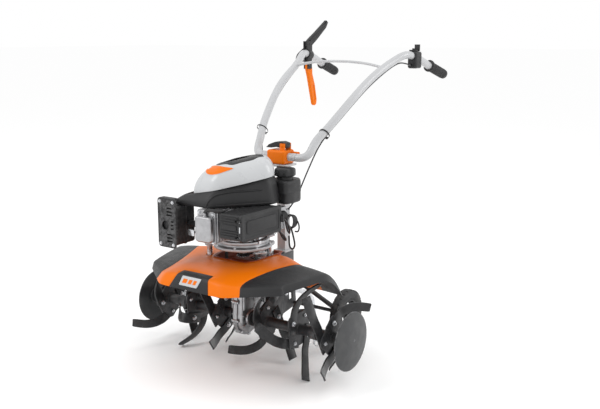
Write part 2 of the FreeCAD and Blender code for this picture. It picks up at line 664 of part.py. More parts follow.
def build_block():
    flange = cyl(98.0, 10.0, (0, CRANK_Y, FLANGE_BOTTOM))
    ears = [cyl(17.0, 10.0, (x, y, FLANGE_BOTTOM)) for x, y in STANDOFFS]
    skirt = cyl(84.0, 112.0, (0, CRANK_Y, FLANGE_BOTTOM + 10.0))
    lip = cyl(90.0, 8.0, (0, CRANK_Y, FLANGE_BOTTOM + 22.0))
    neck = box(-46.0, 46.0, -95.0, -60.0, 458.0, 562.0)
    top = cyl(60.0, 30.0, (0, CRANK_Y, 534.0))
    case = fuse([flange, skirt, lip, neck, top] + ears)
    hollow = [cyl(78.0, 92.0, (0, CRANK_Y, 426.0)), cyl(11.05, 200.0, (0, CRANK_Y, 400.0)),
              cyl(32.0, 60.0, (0, -110.0, 510.0), (0, 1, 0))]
    hollow += [cyl(4.1, 20.0, (x, y, 405.0)) for x, y in STANDOFFS]
    hollow += [cyl(7.0, 30.0, (-74.0, 40.0, 515.0))]
    save("crankcase", case.cut(fuse(hollow)))
    core = cyl(38.0, 96.0, (0, -187.0, 510.0), (0, 1, 0))
    fins = [box(-42.0, 42.0, -187.0 + 9.0 * i, -184.0 + 9.0 * i, 458.0, 562.0) for i in range(11)]
    barrel = fuse([core] + fins).cut(cyl(31.0, 110.0, (0, -180.0, 510.0), (0, 1, 0)))
    barrel = barrel.cut(box(-50, 50, -95.0, -50.0, 400, 600)).cut(cyl(84.0, 112.0, (0, CRANK_Y, 422.0)))
    barrel = barrel.cut(cyl(6.05, 40.0, (22.0, -170.0, 540.0), (-1, 0, 1)))
    save("cylinder", barrel)
    base = soften(box(-37.0, 37.0, -193.0, -187.0, 456.0, 563.0), 2.0)
    cover = soften(box(-33.0, 33.0, -214.0, -192.0, 462.0, 545.0), 8.0)
    studs = [hexagon(5.0, 4.0, (x, -193.0, z), (0, -1, 0)) for x in (-28.0, 28.0) for z in (555.0,)]
    breather = cyl(6.0, 16.0, (0, -200.0, 540.0))
    save("rocker_cover", fuse([base, cover, breather] + studs))
    rod = [cyl(5.0, 66.0, (-74.0, 40.0, 500.0)), cyl(9.0, 12.0, (-74.0, 40.0, 558.0)),
           ring(11.0, 5.0, 4.0, (-74.0, 40.0, 534.4))]
    save("dipstick", fuse(rod).cut(box(-120, 120, -200, 200, 569.8, 700)))


def scaled_plan(plan, factor, centre, z):
    """Plan outline shrunk about a centre and set at a height; z may slope with y."""
    points = [V(centre[0] + (x - centre[0]) * factor, centre[1] + (y - centre[1]) * factor, z)
              for x, y in plan]
    return Part.makePolygon(points + [points[0]])


def build_covers():
    mid = (-10.0, -15.0)
    outer = Part.makeLoft([scaled_plan(BLOWER_PLAN, 1.0, mid, 566.0),
                           scaled_plan(BLOWER_PLAN, 0.97, mid, 596.0),
                           scaled_plan(BLOWER_PLAN, 0.86, mid, 632.0)], True, True)
    inner = Part.makeLoft([scaled_plan(BLOWER_PLAN, 0.965, mid, 569.0),
                           scaled_plan(BLOWER_PLAN, 0.93, mid, 596.0),
                           scaled_plan(BLOWER_PLAN, 0.82, mid, 632.5)], True, True)
    shroud = outer.cut(inner).cut(cyl(62.0, 20.0, (0, CRANK_Y, 560.0)))
    shroud = shroud.cut(box(40.0, 140.0, 30.0, 140.0, 560.0, 640.0)).cut(cyl(9.4, 20.0, (-74.0, 40.0, 560.0)))
    save("blower_housing", shroud)
    levels = ((1.0, 632.2), (0.99, 650.0), (0.9, 676.0), (0.72, 697.0), (0.5, 707.0))
    skin = Part.makeLoft([scaled_plan(COVER_PLAN, f, mid, z) for f, z in levels], True, True)
    under = ((0.95, 632.1), (0.94, 648.0), (0.855, 672.5), (0.68, 693.0), (0.46, 703.0))
    hollow = Part.makeLoft([scaled_plan(COVER_PLAN, f, mid, z) for f, z in under], True, True)
    vent = Part.makeLoft([scaled_plan(VENT_PLAN, 1.0, mid, 640.0), scaled_plan(VENT_PLAN, 1.0, mid, 720.0)],
                         True, True)
    save("top_cover", skin.cut(hollow).cut(vent))
    grille = skin.common(Part.makeLoft([scaled_plan(VENT_PLAN, 0.985, mid, 640.0),
                                        scaled_plan(VENT_PLAN, 0.985, mid, 720.0)], True, True))
    grille.translate(V(0, 0, -2.0))
    lower = grille.copy()
    lower.translate(V(0, 0, -4.0))
    grille = grille.cut(lower)
    slots = []
    for i in range(7):
        slots.append(box(-60.0, 60.0, -66.0 + 20.0 * i, -58.0 + 20.0 * i, 640.0, 720.0))
    save("intake_grille", grille.cut(fuse(slots)))


def build_intake():
    case = box(59.0, 139.0, -200.0, 0.0, 482.0, 562.0)
    case = case.cut(box(62.0, 139.0, -196.0, -4.0, 486.0, 558.0))
    case = case.cut(cyl(84.4, 200.0, (0, CRANK_Y, 400.0)))
    duct = cyl(16.0, 22.0, (100.0, 0.0, 520.0), (0, 1, 0))
    ears = []
    for z in (492.0, 544.0):
        ears += [box(131.0, 139.0, -211.0, -199.0, z, z + 5.0), box(131.0, 148.0, -211.0, -204.0, z, z + 5.0)]
    pin = cyl(2.0, 57.0, (AIR_HINGE_X, AIR_HINGE_Y, 492.0))
    case = fuse([case, duct, pin] + ears)
    case = case.cut(cyl(12.0, 40.0, (100.0, -10.0, 520.0), (0, 1, 0)))
    save("air_cleaner_box", case)
    lid = soften(box(139.3, 152.0, -203.0, 2.0, 479.0, 565.0), 3.0)
    lid = lid.cut(box(138.0, 148.0, -198.0, -3.0, 484.0, 560.0))
    latch = box(140.0, 156.0, 2.0, 8.0, 508.0, 534.0)
    barrels = []
    for z in (498.0, 530.0):
        barrels += [cyl(4.0, 13.0, (AIR_HINGE_X, AIR_HINGE_Y, z)), box(143.0, 149.0, -206.0, -201.0, z, z + 13.0)]
    lid = fuse([lid, latch] + barrels)
    save("air_cleaner_cover", lid.cut(cyl(2.05, 60.0, (AIR_HINGE_X, AIR_HINGE_Y, 490.0))))
    body = fuse([box(84.0, 116.0, 22.0, 74.0, 500.0, 545.0), cyl(24.0, 26.0, (100.0, 48.0, 474.0))])
    stub = fuse([cyl(14.0, 20.0, (100.0, 74.0, 520.0), (0, 1, 0)), box(70.0, 84.0, 40.0, 56.0, 510.0, 530.0)])
    save("carburettor", fuse([body, stub]))


def build_exhaust():
    can = soften(box(-180.0, -112.0, -211.0, -120.0, 434.0, 562.0), 7.0)
    pipe = cyl(11.0, 74.0, (-116.0, -150.0, 500.0), (1, 0, 0))
    save("muffler", fuse([can, pipe.cut(box(-43.0, 50, -200, -100, 480, 520))]))
    plate = box(-185.0, -107.0, -220.0, -217.0, 426.0, 590.0)
    side_wall = fuse([box(-188.0, -185.0, -220.0, -160.0, 430.0, 560.0),
                      box(-185.0, -107.0, -217.0, -196.0, 587.0, 590.0),
                      box(-185.0, -107.0, -217.0, -180.0, 426.0, 429.0)])
    holes = [cyl(15.0, 10.0, (-150.0, -223.0, 500.0), (0, 1, 0))]
    for z in (452.0, 462.0, 472.0, 530.0, 541.0, 552.0, 563.0):
        holes.append(box(-146.0, -122.0, -223.0, -214.0, z, z + 5.0))
    guard = fuse([plate, side_wall]).cut(fuse(holes))
    save("muffler_guard", guard)


def build_tank():
    plan = [(56.0, 46.0), (146.0, 30.0), (154.0, 60.0), (150.0, 112.0), (128.0, 138.0), (56.0, 140.0)]
    tank = prism_z(plan, 560.0, 634.0)
    tank = soften(tank, 7.0)
    neck = cyl(26.0, 12.0, (102.0, 88.0, 632.0))
    tank = fuse([tank, neck]).cut(prism_z([(x * 0.92 + 8, y * 0.92 + 7) for x, y in plan], 564.0, 630.0))
    save("fuel_tank", tank.cut(cyl(22.0, 40.0, (102.0, 88.0, 622.0))))
    cap = cyl(35.0, 26.0, (102.0, 88.0, 644.3))
    cap = cap.makeFillet(6.0, [cap.Edges[0]]) if cap.Edges else cap
    plug = cyl(21.9, 24.0, (102.0, 88.0, 626.0))
    rib = box(70.0, 134.0, 82.0, 94.0, 668.0, 674.0)
    save("fuel_cap", fuse([cap.cut(cyl(30.0, 4.0, (102.0, 88.0, 644.3))), plug, rib]))
    handle = soften(box(-84.0, -44.0, 152.0, 170.0, 582.0, 598.0), 5.0)
    save("starter_grip", fuse([handle, cyl(3.0, 12.0, (-64.0, 141.0, 590.0), (0, 1, 0))]))


# Handle

def side_bar(radius):
    """Left half of the bent tube, from the clamp to the grip end."""
    lead = [(58.0 + 12.0 * i, CLAMP_Y, CLAMP_Z) for i in range(3)]
    points = lead + list(BAR_POINTS)
    return sweep_round(points, radius)


def build_handle():
    bar = side_bar(BAR_R)
    bore = side_bar(BAR_R - 2.0)
    cross = cyl(BAR_R, 116.0, (-58.0, CLAMP_Y, CLAMP_Z), (1, 0, 0))
    hollow = cyl(BAR_R - 2.0, 116.0, (-58.0, CLAMP_Y, CLAMP_Z), (1, 0, 0))
    brace_points = [(-192.0, 568.0, 984.0), (-110.0, 570.0, 999.0), (0.0, 571.0, 1004.0),
                    (110.0, 570.0, 999.0), (192.0, 568.0, 984.0)]
    brace = sweep_round(brace_points, 5.0)
    tube = fuse([cross, bar, mirror_x(bar), brace])
    save("handlebar", tube.cut(fuse([hollow, bore, mirror_x(bore)])))
    save("grips", Part.makeCompound([grip(bar), mirror_x(grip(bar))]))
    column = box(-17.0, 17.0, 202.0, 234.0, DECK_TOP, 655.0)
    column = column.cut(box(-14.0, 14.0, 205.0, 231.0, DECK_TOP, 655.0))
    foot = box(-26.0, 26.0, 190.0, 240.0, DECK_TOP, DECK_TOP + 6.0)
    saddle = box(-42.0, 42.0, 168.0, 238.0, 655.0, 663.0)
    column = fuse([column, foot, saddle])
    save("handle_column", column)
    block = soften(box(-38.0, 38.0, 168.0, 234.0, 663.0, 712.0), 9.0)
    spike = fuse([cyl(5.0, 26.0, (38.0, 222.0, 700.0), (1, 0, 0))])
    block = fuse([block, spike]).cut(cyl(BAR_R + 0.05, 200.0, (-100.0, CLAMP_Y, CLAMP_Z), (1, 0, 0)))
    ears = fuse([box(12.0, 32.0, 180.0, 185.0, 708.0, 735.0), box(12.0, 32.0, 215.0, 220.0, 708.0, 735.0)])
    rod = cyl(4.0, 44.0, (22.0, 178.0, CAM_Z), (0, 1, 0))
    save("clamp_body", fuse([block, ears, rod]))
    top = [(-52.0, 717.0), (-40.0, 728.0), (-14.0, 738.0), (14.0, 741.0), (31.0, 737.0), (35.0, 727.0),
           (31.0, 719.0), (13.0, 718.0), (-6.0, 721.0), (-30.0, 717.0)]
    wire = Part.makePolygon([V(x, 186.0, z) for x, z in top] + [V(top[0][0], 186.0, top[0][1])])
    lever = Part.Face(wire).extrude(V(0, 28.0, 0))
    save("clamp_lever", lever.cut(cyl(4.05, 60.0, (22.0, 170.0, CAM_Z), (0, 1, 0))))


def grip(bar):
    """Ribbed hand grip with a collar, sleeved over the end of the bar."""
    end = V(*BAR_POINTS[-1])
    along = (V(*BAR_POINTS[-1]) - V(*BAR_POINTS[-2])).normalize()
    start = end - along * (GRIP_LENGTH - 8.0)
    body = Part.makeCylinder(18.0, GRIP_LENGTH, start, along)
    flange = Part.makeCylinder(23.0, 5.0, start, along)
    ribs = [Part.makeCylinder(18.8, 3.0, start + along * (14.0 + 9.0 * i), along) for i in range(11)]
    solid = fuse([body, flange] + ribs)
    return solid.cut(bar)


def build_controls():
    """Drive levers on the right bar, throttle lever on the left bar."""
    bar = side_bar(BAR_R)
    sleeve = Part.makeCylinder(19.0, 34.0, V(-234.0, 694.0, 1026.5), V(-0.14, 0.97, -0.17).normalize())
    ears = [box(x, x + 4.0, 692.0, 726.0, 1030.0, 1076.0) for x in (-247.0, -230.0)]
    lower = [box(x, x + 4.0, 696.0, 724.0, 966.0, 1018.0) for x in (-247.0, -230.0)]
    pins = [cyl(4.0, 23.0, (-248.0, LEVER_Y, z), (1, 0, 0)) for z in (FORWARD_Z, REVERSE_Z)]
    bracket = fuse([sleeve] + ears + lower + pins)
    housing = soften(box(219.0, 257.0, 704.0, 752.0, 978.0, 1040.0), 8.0)
    housing = fuse([housing, cyl(5.0, 12.0, (232.0, 728.0, 1040.0))])
    bracket = bracket.cut(mirror_x(bar)).cut(drive_cables())
    mounts = Part.makeCompound([bracket, housing.cut(bar).cut(throttle_cable())])
    save("control_mounts", mounts)
    forward = [(697.0, 1054.0), (722.0, 1052.0), (772.0, 1084.0), (836.0, 1130.0), (850.0, 1152.0),
               (838.0, 1160.0), (812.0, 1144.0), (760.0, 1112.0), (714.0, 1086.0), (697.0, 1074.0)]
    save("forward_lever", lever_blade(forward, FORWARD_Z))
    reverse = [(698.0, 992.0), (722.0, 992.0), (732.0, 962.0), (754.0, 900.0), (766.0, 838.0),
               (756.0, 818.0), (740.0, 822.0), (722.0, 888.0), (704.0, 944.0), (696.0, 968.0)]
    save("reverse_lever", lever_blade(reverse, REVERSE_Z))
    disc = ring(16.0, 5.05, 6.0, (232.0, 728.0, 1040.4))
    arm = prism_z([(226.0, 716.0), (238.0, 716.0), (244.0, 752.0), (232.0, 758.0)], 1040.4, 1046.4)
    tab = box(228.0, 248.0, 744.0, 750.0, 1042.0, 1066.0)
    save("throttle_lever", fuse([disc, arm, tab]).cut(cyl(5.05, 20.0, (232.0, 728.0, 1036.0))))


def lever_blade(outline, pivot_z):
    blade = soften(prism_x(outline, -242.7, -230.3), 2.5)
    return blade.cut(cyl(4.05, 60.0, (-260.0, LEVER_Y, pivot_z), (1, 0, 0)))


def below_bar(sideways):
    """Cable route strapped under the left bar, from the bend down to the clamp end."""
    return [(x + sideways, y + 13.0, z - 13.0) for x, y, z in reversed(BAR_POINTS[1:8])]


def drive_cables():
    """Two cables from the drive levers, strapped to the right bar, down to the belt idlers."""
    lower = [(112.0, 244.0, 640.0), (106.0, 236.0, 570.0), (101.0, 214.0, 500.0), (96.0, 174.0, 446.0),
             (91.0, 122.0, 412.0), (87.0, 66.0, 400.0), (86.0, 10.0, 399.0)]
    inner = [(226.0, 706.0, 982.0), (222.0, 664.0, 1000.0)] + below_bar(4.0) + lower
    outer = [(251.0, 706.0, 1046.0), (256.0, 668.0, 1030.0), (240.0, 632.0, 1004.0)]
    outer += [(x + 8.0, y + 1.0, z) for x, y, z in below_bar(4.0)[1:]]
    outer += [(x + 9.0, y + 1.0, z + 1.0) for x, y, z in lower[:6]] + [(97.0, 20.0, 400.0)]
    return Part.makeCompound([mirror_x(cord_solid("reverse cable", inner, 3.0)),
                              mirror_x(cord_solid("forward cable", outer, 3.0))])


def throttle_cable():
    """Cable from the throttle lever, strapped to the left bar, to the carburettor."""
    route = [(236.0, 703.6, 990.0), (228.0, 664.0, 1000.0)] + below_bar(0.0)[:-1]
    route += [(128.0, 244.0, 722.0), (124.0, 212.0, 678.0), (116.0, 184.0, 628.0), (108.0, 156.0, 574.0),
              (102.0, 122.0, 534.0), (100.0, 95.5, 521.0)]
    return cord_solid("throttle cable", route, 2.5)


# Transport wheels and drag spur

def build_undercarriage():
    arm = [(SWING_Y - 14.0, SWING_Z - 4.0), (SWING_Y - 6.0, SWING_Z + 14.0), (SWING_Y + 34.0, 176.0),
           (234.0, 262.0), (256.0, 262.0), (268.0, 152.0), (262.0, 132.0), (SWING_Y + 6.0, SWING_Z - 14.0)]
    arms = [prism_x(arm, 12.0, 18.0), prism_x(arm, -18.0, -12.0)]
    window = prism_x([(206.0, 158.0), (246.0, 162.0), (242.0, 236.0)], -30.0, 30.0)
    axle = cyl(6.5, 536.0, (-268.0, WHEEL_Y, WHEEL_Z), (1, 0, 0))
    struts = []
    for side in (1.0, -1.0):
        low = V(side * 205.0, WHEEL_Y - 1.0, WHEEL_Z + 6.0)
        high = V(side * 14.0, 246.0, 246.0)
        struts.append(Part.makeCylinder(8.5, (high - low).Length, low, high - low))
    collars = [cyl(12.0, 8.0, (s * 204.0, WHEEL_Y, WHEEL_Z), (s, 0, 0)) for s in (1.0, -1.0)]
    frame = fuse(arms + [axle] + struts + collars)
    gap = box(-11.9, 11.9, 100.0, 253.0, 90.0, 300.0)
    gap = gap.cut(cyl(6.5, 30.0, (-15.0, WHEEL_Y, WHEEL_Z), (1, 0, 0)))
    frame = frame.cut(window).cut(gap)
    caps = [cyl(9.0, 3.0, (s * 265.0, WHEEL_Y, WHEEL_Z), (s, 0, 0)) for s in (1.0, -1.0)]
    frame = fuse([frame] + caps).cut(cyl(6.05, 80.0, (-40.0, SWING_Y, SWING_Z), (1, 0, 0)))
    save("wheel_frame", frame)
    for name, side in (("left", 1.0), ("right", -1.0)):
        save("tyre_" + name, tyre(side))
        save("wheel_rim_" + name, rim(side))
    spur = [(SPUR_Y - 12.0, SPUR_Z - 2.0), (SPUR_Y - 4.0, SPUR_Z + 12.0), (236.0, 203.0), (300.0, 186.0),
            (362.0, 160.0), (402.0, 122.0), (414.0, 60.0), (412.0, 0.0), (398.0, 0.0), (398.0, 60.0),
            (388.0, 112.0), (354.0, 144.0), (296.0, 168.0), (234.0, 185.0), (SPUR_Y, SPUR_Z - 13.0)]
    blade = prism_x(spur, -8.0, 8.0).cut(cyl(6.05, 80.0, (-40.0, SPUR_Y, SPUR_Z), (1, 0, 0)))
    save("drag_spur", blade)


def tyre(side):
    """Round-shouldered solid rubber tyre with grooves across the tread."""
    carcass = Part.makeTorus(WHEEL_R - 20.0, 20.0, V(0, 0, 0), V(1, 0, 0))
    band = ring(WHEEL_R - 1.0, WHEEL_R - 34.0, 26.0, (-13.0, 0, 0), (1, 0, 0))
    body = fuse([carcass, band]).cut(cyl(WHEEL_R - 34.0, 80.0, (-40.0, 0, 0), (1, 0, 0)))
    grooves = [box(-30.0, -4.0, -2.0, 2.0, WHEEL_R - 5.0, WHEEL_R + 5.0),
               box(4.0, 30.0, -2.0, 2.0, WHEEL_R - 5.0, WHEEL_R + 5.0)]
    cuts = []
    for i in range(24):
        for k, groove in enumerate(grooves):
            one = groove.copy()
            one.rotate(V(0, 0, 0), V(1, 0, 0), 15.0 * i + 7.5 * k)
            cuts.append(one)
    body = body.cut(fuse(cuts))
    body.translate(V(side * WHEEL_X, WHEEL_Y, WHEEL_Z))
    return body


def rim(side):
    """Spoked plastic rim with a long hub."""
    outer = ring(WHEEL_R - 34.0, WHEEL_R - 40.0, 30.0, (-15.0, 0, 0), (1, 0, 0))
    hub = cyl(13.0, 44.0, (-22.0, 0, 0), (1, 0, 0))
    web = cyl(WHEEL_R - 38.0, 4.0, (-2.0, 0, 0), (1, 0, 0))
    windows = []
    for i in range(5):
        hole = cyl(11.0, 20.0, (-10.0, 31.0, 0), (1, 0, 0))
        hole.rotate(V(0, 0, 0), V(1, 0, 0), 72.0 * i)
        windows.append(hole)
    body = fuse([outer, hub, web]).cut(fuse(windows)).cut(cyl(6.55, 60.0, (-30.0, 0, 0), (1, 0, 0)))
    body.translate(V(side * WHEEL_X, WHEEL_Y, WHEEL_Z))
    return body


build_rotor()
build_input()
build_drive()
build_frame(build_gearbox())
build_hood()
build_engine()
build_handle()
build_controls()
save("drive_cables", drive_cables())
save("throttle_cable", throttle_cable())
build_undercarriage()
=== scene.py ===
"""Looks of the tiller: every shape is drawn in millimetres about the ground point under the rotor axle."""
import json
from math import cos, pi, radians, sin

import bmesh
import bpy
from mathutils import Matrix, Vector
from mathutils.bvhtree import BVHTree


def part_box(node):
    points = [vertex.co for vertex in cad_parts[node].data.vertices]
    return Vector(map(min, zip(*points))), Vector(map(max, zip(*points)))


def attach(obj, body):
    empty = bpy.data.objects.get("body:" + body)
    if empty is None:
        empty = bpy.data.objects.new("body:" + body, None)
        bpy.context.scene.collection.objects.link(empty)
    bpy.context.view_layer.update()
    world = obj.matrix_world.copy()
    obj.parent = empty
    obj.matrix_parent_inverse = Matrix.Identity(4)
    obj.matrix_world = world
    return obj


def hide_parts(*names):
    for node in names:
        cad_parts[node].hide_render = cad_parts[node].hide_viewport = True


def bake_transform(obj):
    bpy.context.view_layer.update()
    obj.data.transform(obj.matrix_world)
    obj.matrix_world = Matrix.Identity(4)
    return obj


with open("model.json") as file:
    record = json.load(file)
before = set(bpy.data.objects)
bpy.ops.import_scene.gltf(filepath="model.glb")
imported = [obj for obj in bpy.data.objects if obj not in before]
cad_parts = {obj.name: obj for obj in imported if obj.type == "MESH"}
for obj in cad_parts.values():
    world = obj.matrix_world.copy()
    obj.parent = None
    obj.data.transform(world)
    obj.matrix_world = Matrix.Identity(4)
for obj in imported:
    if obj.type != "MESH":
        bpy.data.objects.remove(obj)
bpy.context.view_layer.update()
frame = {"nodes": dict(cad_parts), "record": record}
AXLE_Y = sum(corner.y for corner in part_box("output_shaft")) / 2
AXLE_Z = 160.0
X_AXIS = Vector((1, 0, 0))
Y_AXIS = Vector((0, 1, 0))
Z_AXIS = Vector((0, 0, 1))
AXLE = Vector((0, 0, AXLE_Z))
SIDES = ((1, "left"), (-1, "right"))


def place(point):
    """Millimetres about the axle's ground point to metres in the row frame."""
    return Vector((point[0] / 1000, point[1] / 1000 + AXLE_Y, point[2] / 1000))


def add_object(name, data):
    made = bpy.data.objects.new(name, data)
    bpy.context.scene.collection.objects.link(made)
    return made


# Materials

def fill(made, **inputs):
    """Set a shader node's inputs by name, with underscores for spaces."""
    for key, value in inputs.items():
        made.inputs[key.replace("_", " ")].default_value = value
    return made


def spread(tree, source, low, high, out_low, out_high):
    """Map a value range to another range."""
    made = fill(tree.nodes.new("ShaderNodeMapRange"), From_Min=low, From_Max=high, To_Min=out_low,
                To_Max=out_high)
    tree.links.new(source, made.inputs["Value"])
    return made.outputs["Result"]


def noise(tree, scale, detail=3.0):
    """Noise in object coordinates, scale per metre."""
    made = fill(tree.nodes.new("ShaderNodeTexNoise"), Scale=scale, Detail=detail)
    tree.links.new(tree.nodes.new("ShaderNodeTexCoord").outputs["Object"], made.inputs["Vector"])
    return made.outputs["Fac"]


def blend_colour(tree, factor, low, high):
    """Mix two colours, or a linked colour and a colour, by a linked factor."""
    made = tree.nodes.new("ShaderNodeMix")
    made.data_type = "RGBA"
    tree.links.new(factor, made.inputs[0])
    for socket, value in ((made.inputs[6], low), (made.inputs[7], high)):
        if isinstance(value, tuple):
            socket.default_value = (*value, 1.0)
        else:
            tree.links.new(value, socket)
    return made.outputs[2]


def shade(colour, factor):
    return tuple(min(1.0, c * factor) for c in colour)


def surface(name, colour, rough, metallic=0.0, coat=0.0, vary=0.12, vary_scale=14.0, rough_vary=0.08,
            grain=None, grain_kind="noise", wear=0.0, wear_colour=(0.45, 0.45, 0.46), specular=0.5, dust=0.0):
    """Procedural finish: tone drift, roughness drift, grain (strength, scale), worn edges, settled dust."""
    mat = bpy.data.materials.new(name)
    mat.use_nodes = True
    tree = mat.node_tree
    bsdf = tree.nodes["Principled BSDF"]
    fill(bsdf, Metallic=metallic, Specular_IOR_Level=specular)
    if coat:
        fill(bsdf, Coat_Weight=coat, Coat_Roughness=0.12)
    tone = spread(tree, noise(tree, vary_scale, 5.0), 0.3, 0.7, 0.0, 1.0)
    base = blend_colour(tree, tone, shade(colour, 1.0 - vary), shade(colour, 1.0 + vary))
    roughness = spread(tree, noise(tree, vary_scale * 3.1, 4.0), 0.3, 0.7,
                       max(0.04, rough - rough_vary), min(1.0, rough + rough_vary))
    if dust:
        settled = spread(tree, noise(tree, 26.0, 6.0), 0.46, 0.72, 0.0, dust)
        base = blend_colour(tree, settled, base, (0.33, 0.31, 0.28))
    if wear:
        edge = spread(tree, tree.nodes.new("ShaderNodeNewGeometry").outputs["Pointiness"], 0.515, 0.56, 0.0,
                      1.0)
        patch = spread(tree, noise(tree, 120.0, 6.0), 0.38, 0.62, 0.0, 1.0)
        product = tree.nodes.new("ShaderNodeMath")
        product.operation = "MULTIPLY"
        tree.links.new(edge, product.inputs[0])
        tree.links.new(patch, product.inputs[1])
        rubbed = spread(tree, product.outputs[0], 0.0, 1.0, 0.0, wear)
        base = blend_colour(tree, rubbed, base, wear_colour)
        if not metallic:
            tree.links.new(spread(tree, rubbed, 0.0, 1.0, 0.0, 0.8), bsdf.inputs["Metallic"])
    tree.links.new(base, bsdf.inputs["Base Color"])
    tree.links.new(roughness, bsdf.inputs["Roughness"])
    if grain:
        strength, scale = grain
        if grain_kind == "cells":
            cells = fill(tree.nodes.new("ShaderNodeTexVoronoi"), Scale=scale)
            cells.feature = "SMOOTH_F1"
            tree.links.new(tree.nodes.new("ShaderNodeTexCoord").outputs["Object"], cells.inputs["Vector"])
            height = cells.outputs["Distance"]
        else:
            height = noise(tree, scale, 3.0)
        bump = fill(tree.nodes.new("ShaderNodeBump"), Strength=strength, Distance=0.0004)
        tree.links.new(height, bump.inputs["Height"])
        tree.links.new(bump.outputs["Normal"], bsdf.inputs["Normal"])
    return mat


ORANGE = (0.76, 0.158, 0.001)
MATERIALS = {
    "handle_paint": surface("light_grey_powder_coat", (0.46, 0.465, 0.475), 0.34, coat=0.25, vary=0.02,
                            grain=(0.05, 600)),
    "frame_paint": surface("black_powder_coat", (0.026, 0.026, 0.028), 0.42, vary=0.2, grain=(0.35, 1300),
                           wear=0.25, wear_colour=(0.2, 0.2, 0.21), dust=0.06),
    "tine_paint": surface("black_tine_paint", (0.012, 0.012, 0.013), 0.36, specular=0.3, vary=0.25,
                          grain=(0.3, 700), wear=0.25, wear_colour=(0.2, 0.2, 0.21), dust=0.03, coat=0.15),
    "disc_paint": surface("dark_grey_disc_paint", (0.03, 0.031, 0.033), 0.38, specular=0.35, vary=0.12,
                          grain=(0.22, 900), wear=0.5, dust=0.05, coat=0.1),
    "bright_steel": surface("zinc_plated_steel", (0.62, 0.63, 0.65), 0.27, metallic=1.0, vary=0.1,
                            vary_scale=60.0, grain=(0.12, 500)),
    "cast_aluminium": surface("die_cast_aluminium", (0.42, 0.42, 0.43), 0.40, metallic=1.0, vary=0.14,
                              vary_scale=40.0, grain=(0.5, 1500)),
    "orange_plastic": surface("orange_gloss_plastic", ORANGE, 0.36, coat=0.06, specular=0.15, vary=0.035,
                              vary_scale=5.0, rough_vary=0.05, grain=(0.1, 420)),
    # Recess pan: the orange plastic darkened to deep red, painted shade of the hollow under the engine; the
    # dust on it is real.
    "tray_plastic": surface("recess_plastic_painted_shade", (0.30, 0.04, 0.004), 0.5, vary=0.15, grain=(0.3, 1200),
                            dust=0.1),
    "black_plastic": surface("black_grained_plastic", (0.018, 0.018, 0.019), 0.45, specular=0.35, vary=0.1,
                             rough_vary=0.06, grain=(0.5, 1500), grain_kind="cells"),
    "white_plastic": surface("white_gloss_plastic", (0.50, 0.51, 0.52), 0.3, coat=0.3, vary=0.02,
                             rough_vary=0.05, grain=(0.08, 500)),
    "grip_rubber": surface("grip_rubber", (0.02, 0.02, 0.021), 0.62, vary=0.15, grain=(0.6, 2200),
                           grain_kind="cells"),
    "tyre_rubber": surface("tyre_rubber", (0.024, 0.024, 0.025), 0.68, vary=0.2, grain=(0.5, 1500),
                           dust=0.14),
    "belt_rubber": surface("belt_cloth", (0.03, 0.03, 0.03), 0.75, vary=0.2, grain=(0.7, 2500)),
    "cable_sheath": surface("cable_sheath", (0.018, 0.018, 0.02), 0.33, vary=0.1, grain=(0.1, 900)),
    "galvanised": surface("galvanised_steel", (0.60, 0.61, 0.63), 0.36, metallic=0.85, vary=0.22,
                          vary_scale=95.0, grain=(0.35, 260), grain_kind="cells"),
    "muffler_steel": surface("heat_proof_black", (0.014, 0.014, 0.015), 0.5, specular=0.35, vary=0.2,
                             grain=(0.45, 1100), wear=0.15, dust=0.05),
}
SLOT_OF = {part["node"]: part["material_slot"] for part in frame["record"]["subparts"]}
BODY_OF = {name: body for body, names in frame["record"]["behaviour"]["bodies"].items() for name in names}


# Dressing a CAD node: its own shape with merged facets, rounded edges and smooth shading

def finish_mesh(mesh, angle=35.0):
    mesh.polygons.foreach_set("use_smooth", [True] * len(mesh.polygons))
    mesh.set_sharp_from_angle(angle=radians(angle))


def soften(bm, limit, width, segments=2, profile=0.5):
    """Bevel the edges sharper than a limit in degrees by a width in metres."""
    sharp = [e for e in bm.edges if len(e.link_faces) == 2 and e.calc_face_angle(0.0) > radians(limit)]
    bmesh.ops.bevel(bm, geom=sharp, offset=width, segments=segments, profile=profile, affect="EDGES",
                    clamp_overlap=True)


def dressed(name):
    """Copy of a CAD node with its edges softened by 0.6 mm, which then stands for it."""
    bm = bmesh.new()
    bm.from_mesh(frame["nodes"][name].data)
    bmesh.ops.remove_doubles(bm, verts=bm.verts, dist=0.00002)
    bmesh.ops.dissolve_limit(bm, angle_limit=radians(1.2), verts=bm.verts, edges=bm.edges)
    soften(bm, 32.0, 0.0006, profile=0.6)
    mesh = bpy.data.meshes.new(name + "_look")
    bm.to_mesh(mesh)
    bm.free()
    finish_mesh(mesh)
    made = add_object(name + "_look", mesh)
    mesh.materials.append(MATERIALS[SLOT_OF[name]])
    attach(made, BODY_OF[name])
    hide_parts(name)
    return made


# Shells: (points in mm about the axle's ground point, faces), joined into one mesh per piece

def put(shell, base, axis):
    """Stand a shell that is drawn along Z on a base point, along an axis."""
    z = Vector(axis).normalized()
    x = (Z_AXIS if abs(z.z) < 0.9 else Y_AXIS).cross(z).normalized()
    matrix = Matrix.Translation(Vector(base)) @ Matrix((x, z.cross(x), z)).transposed().to_4x4()
    return [matrix @ Vector(p) for p in shell[0]], shell[1]


def turned(shell, angle, centre, axis):
    matrix = (Matrix.Translation(Vector(centre)) @ Matrix.Rotation(radians(angle), 4, Vector(axis))
              @ Matrix.Translation(-Vector(centre)))
    return [matrix @ Vector(p) for p in shell[0]], shell[1]


def shifted(shell, offset):
    return [Vector(p) + Vector(offset) for p in shell[0]], shell[1]


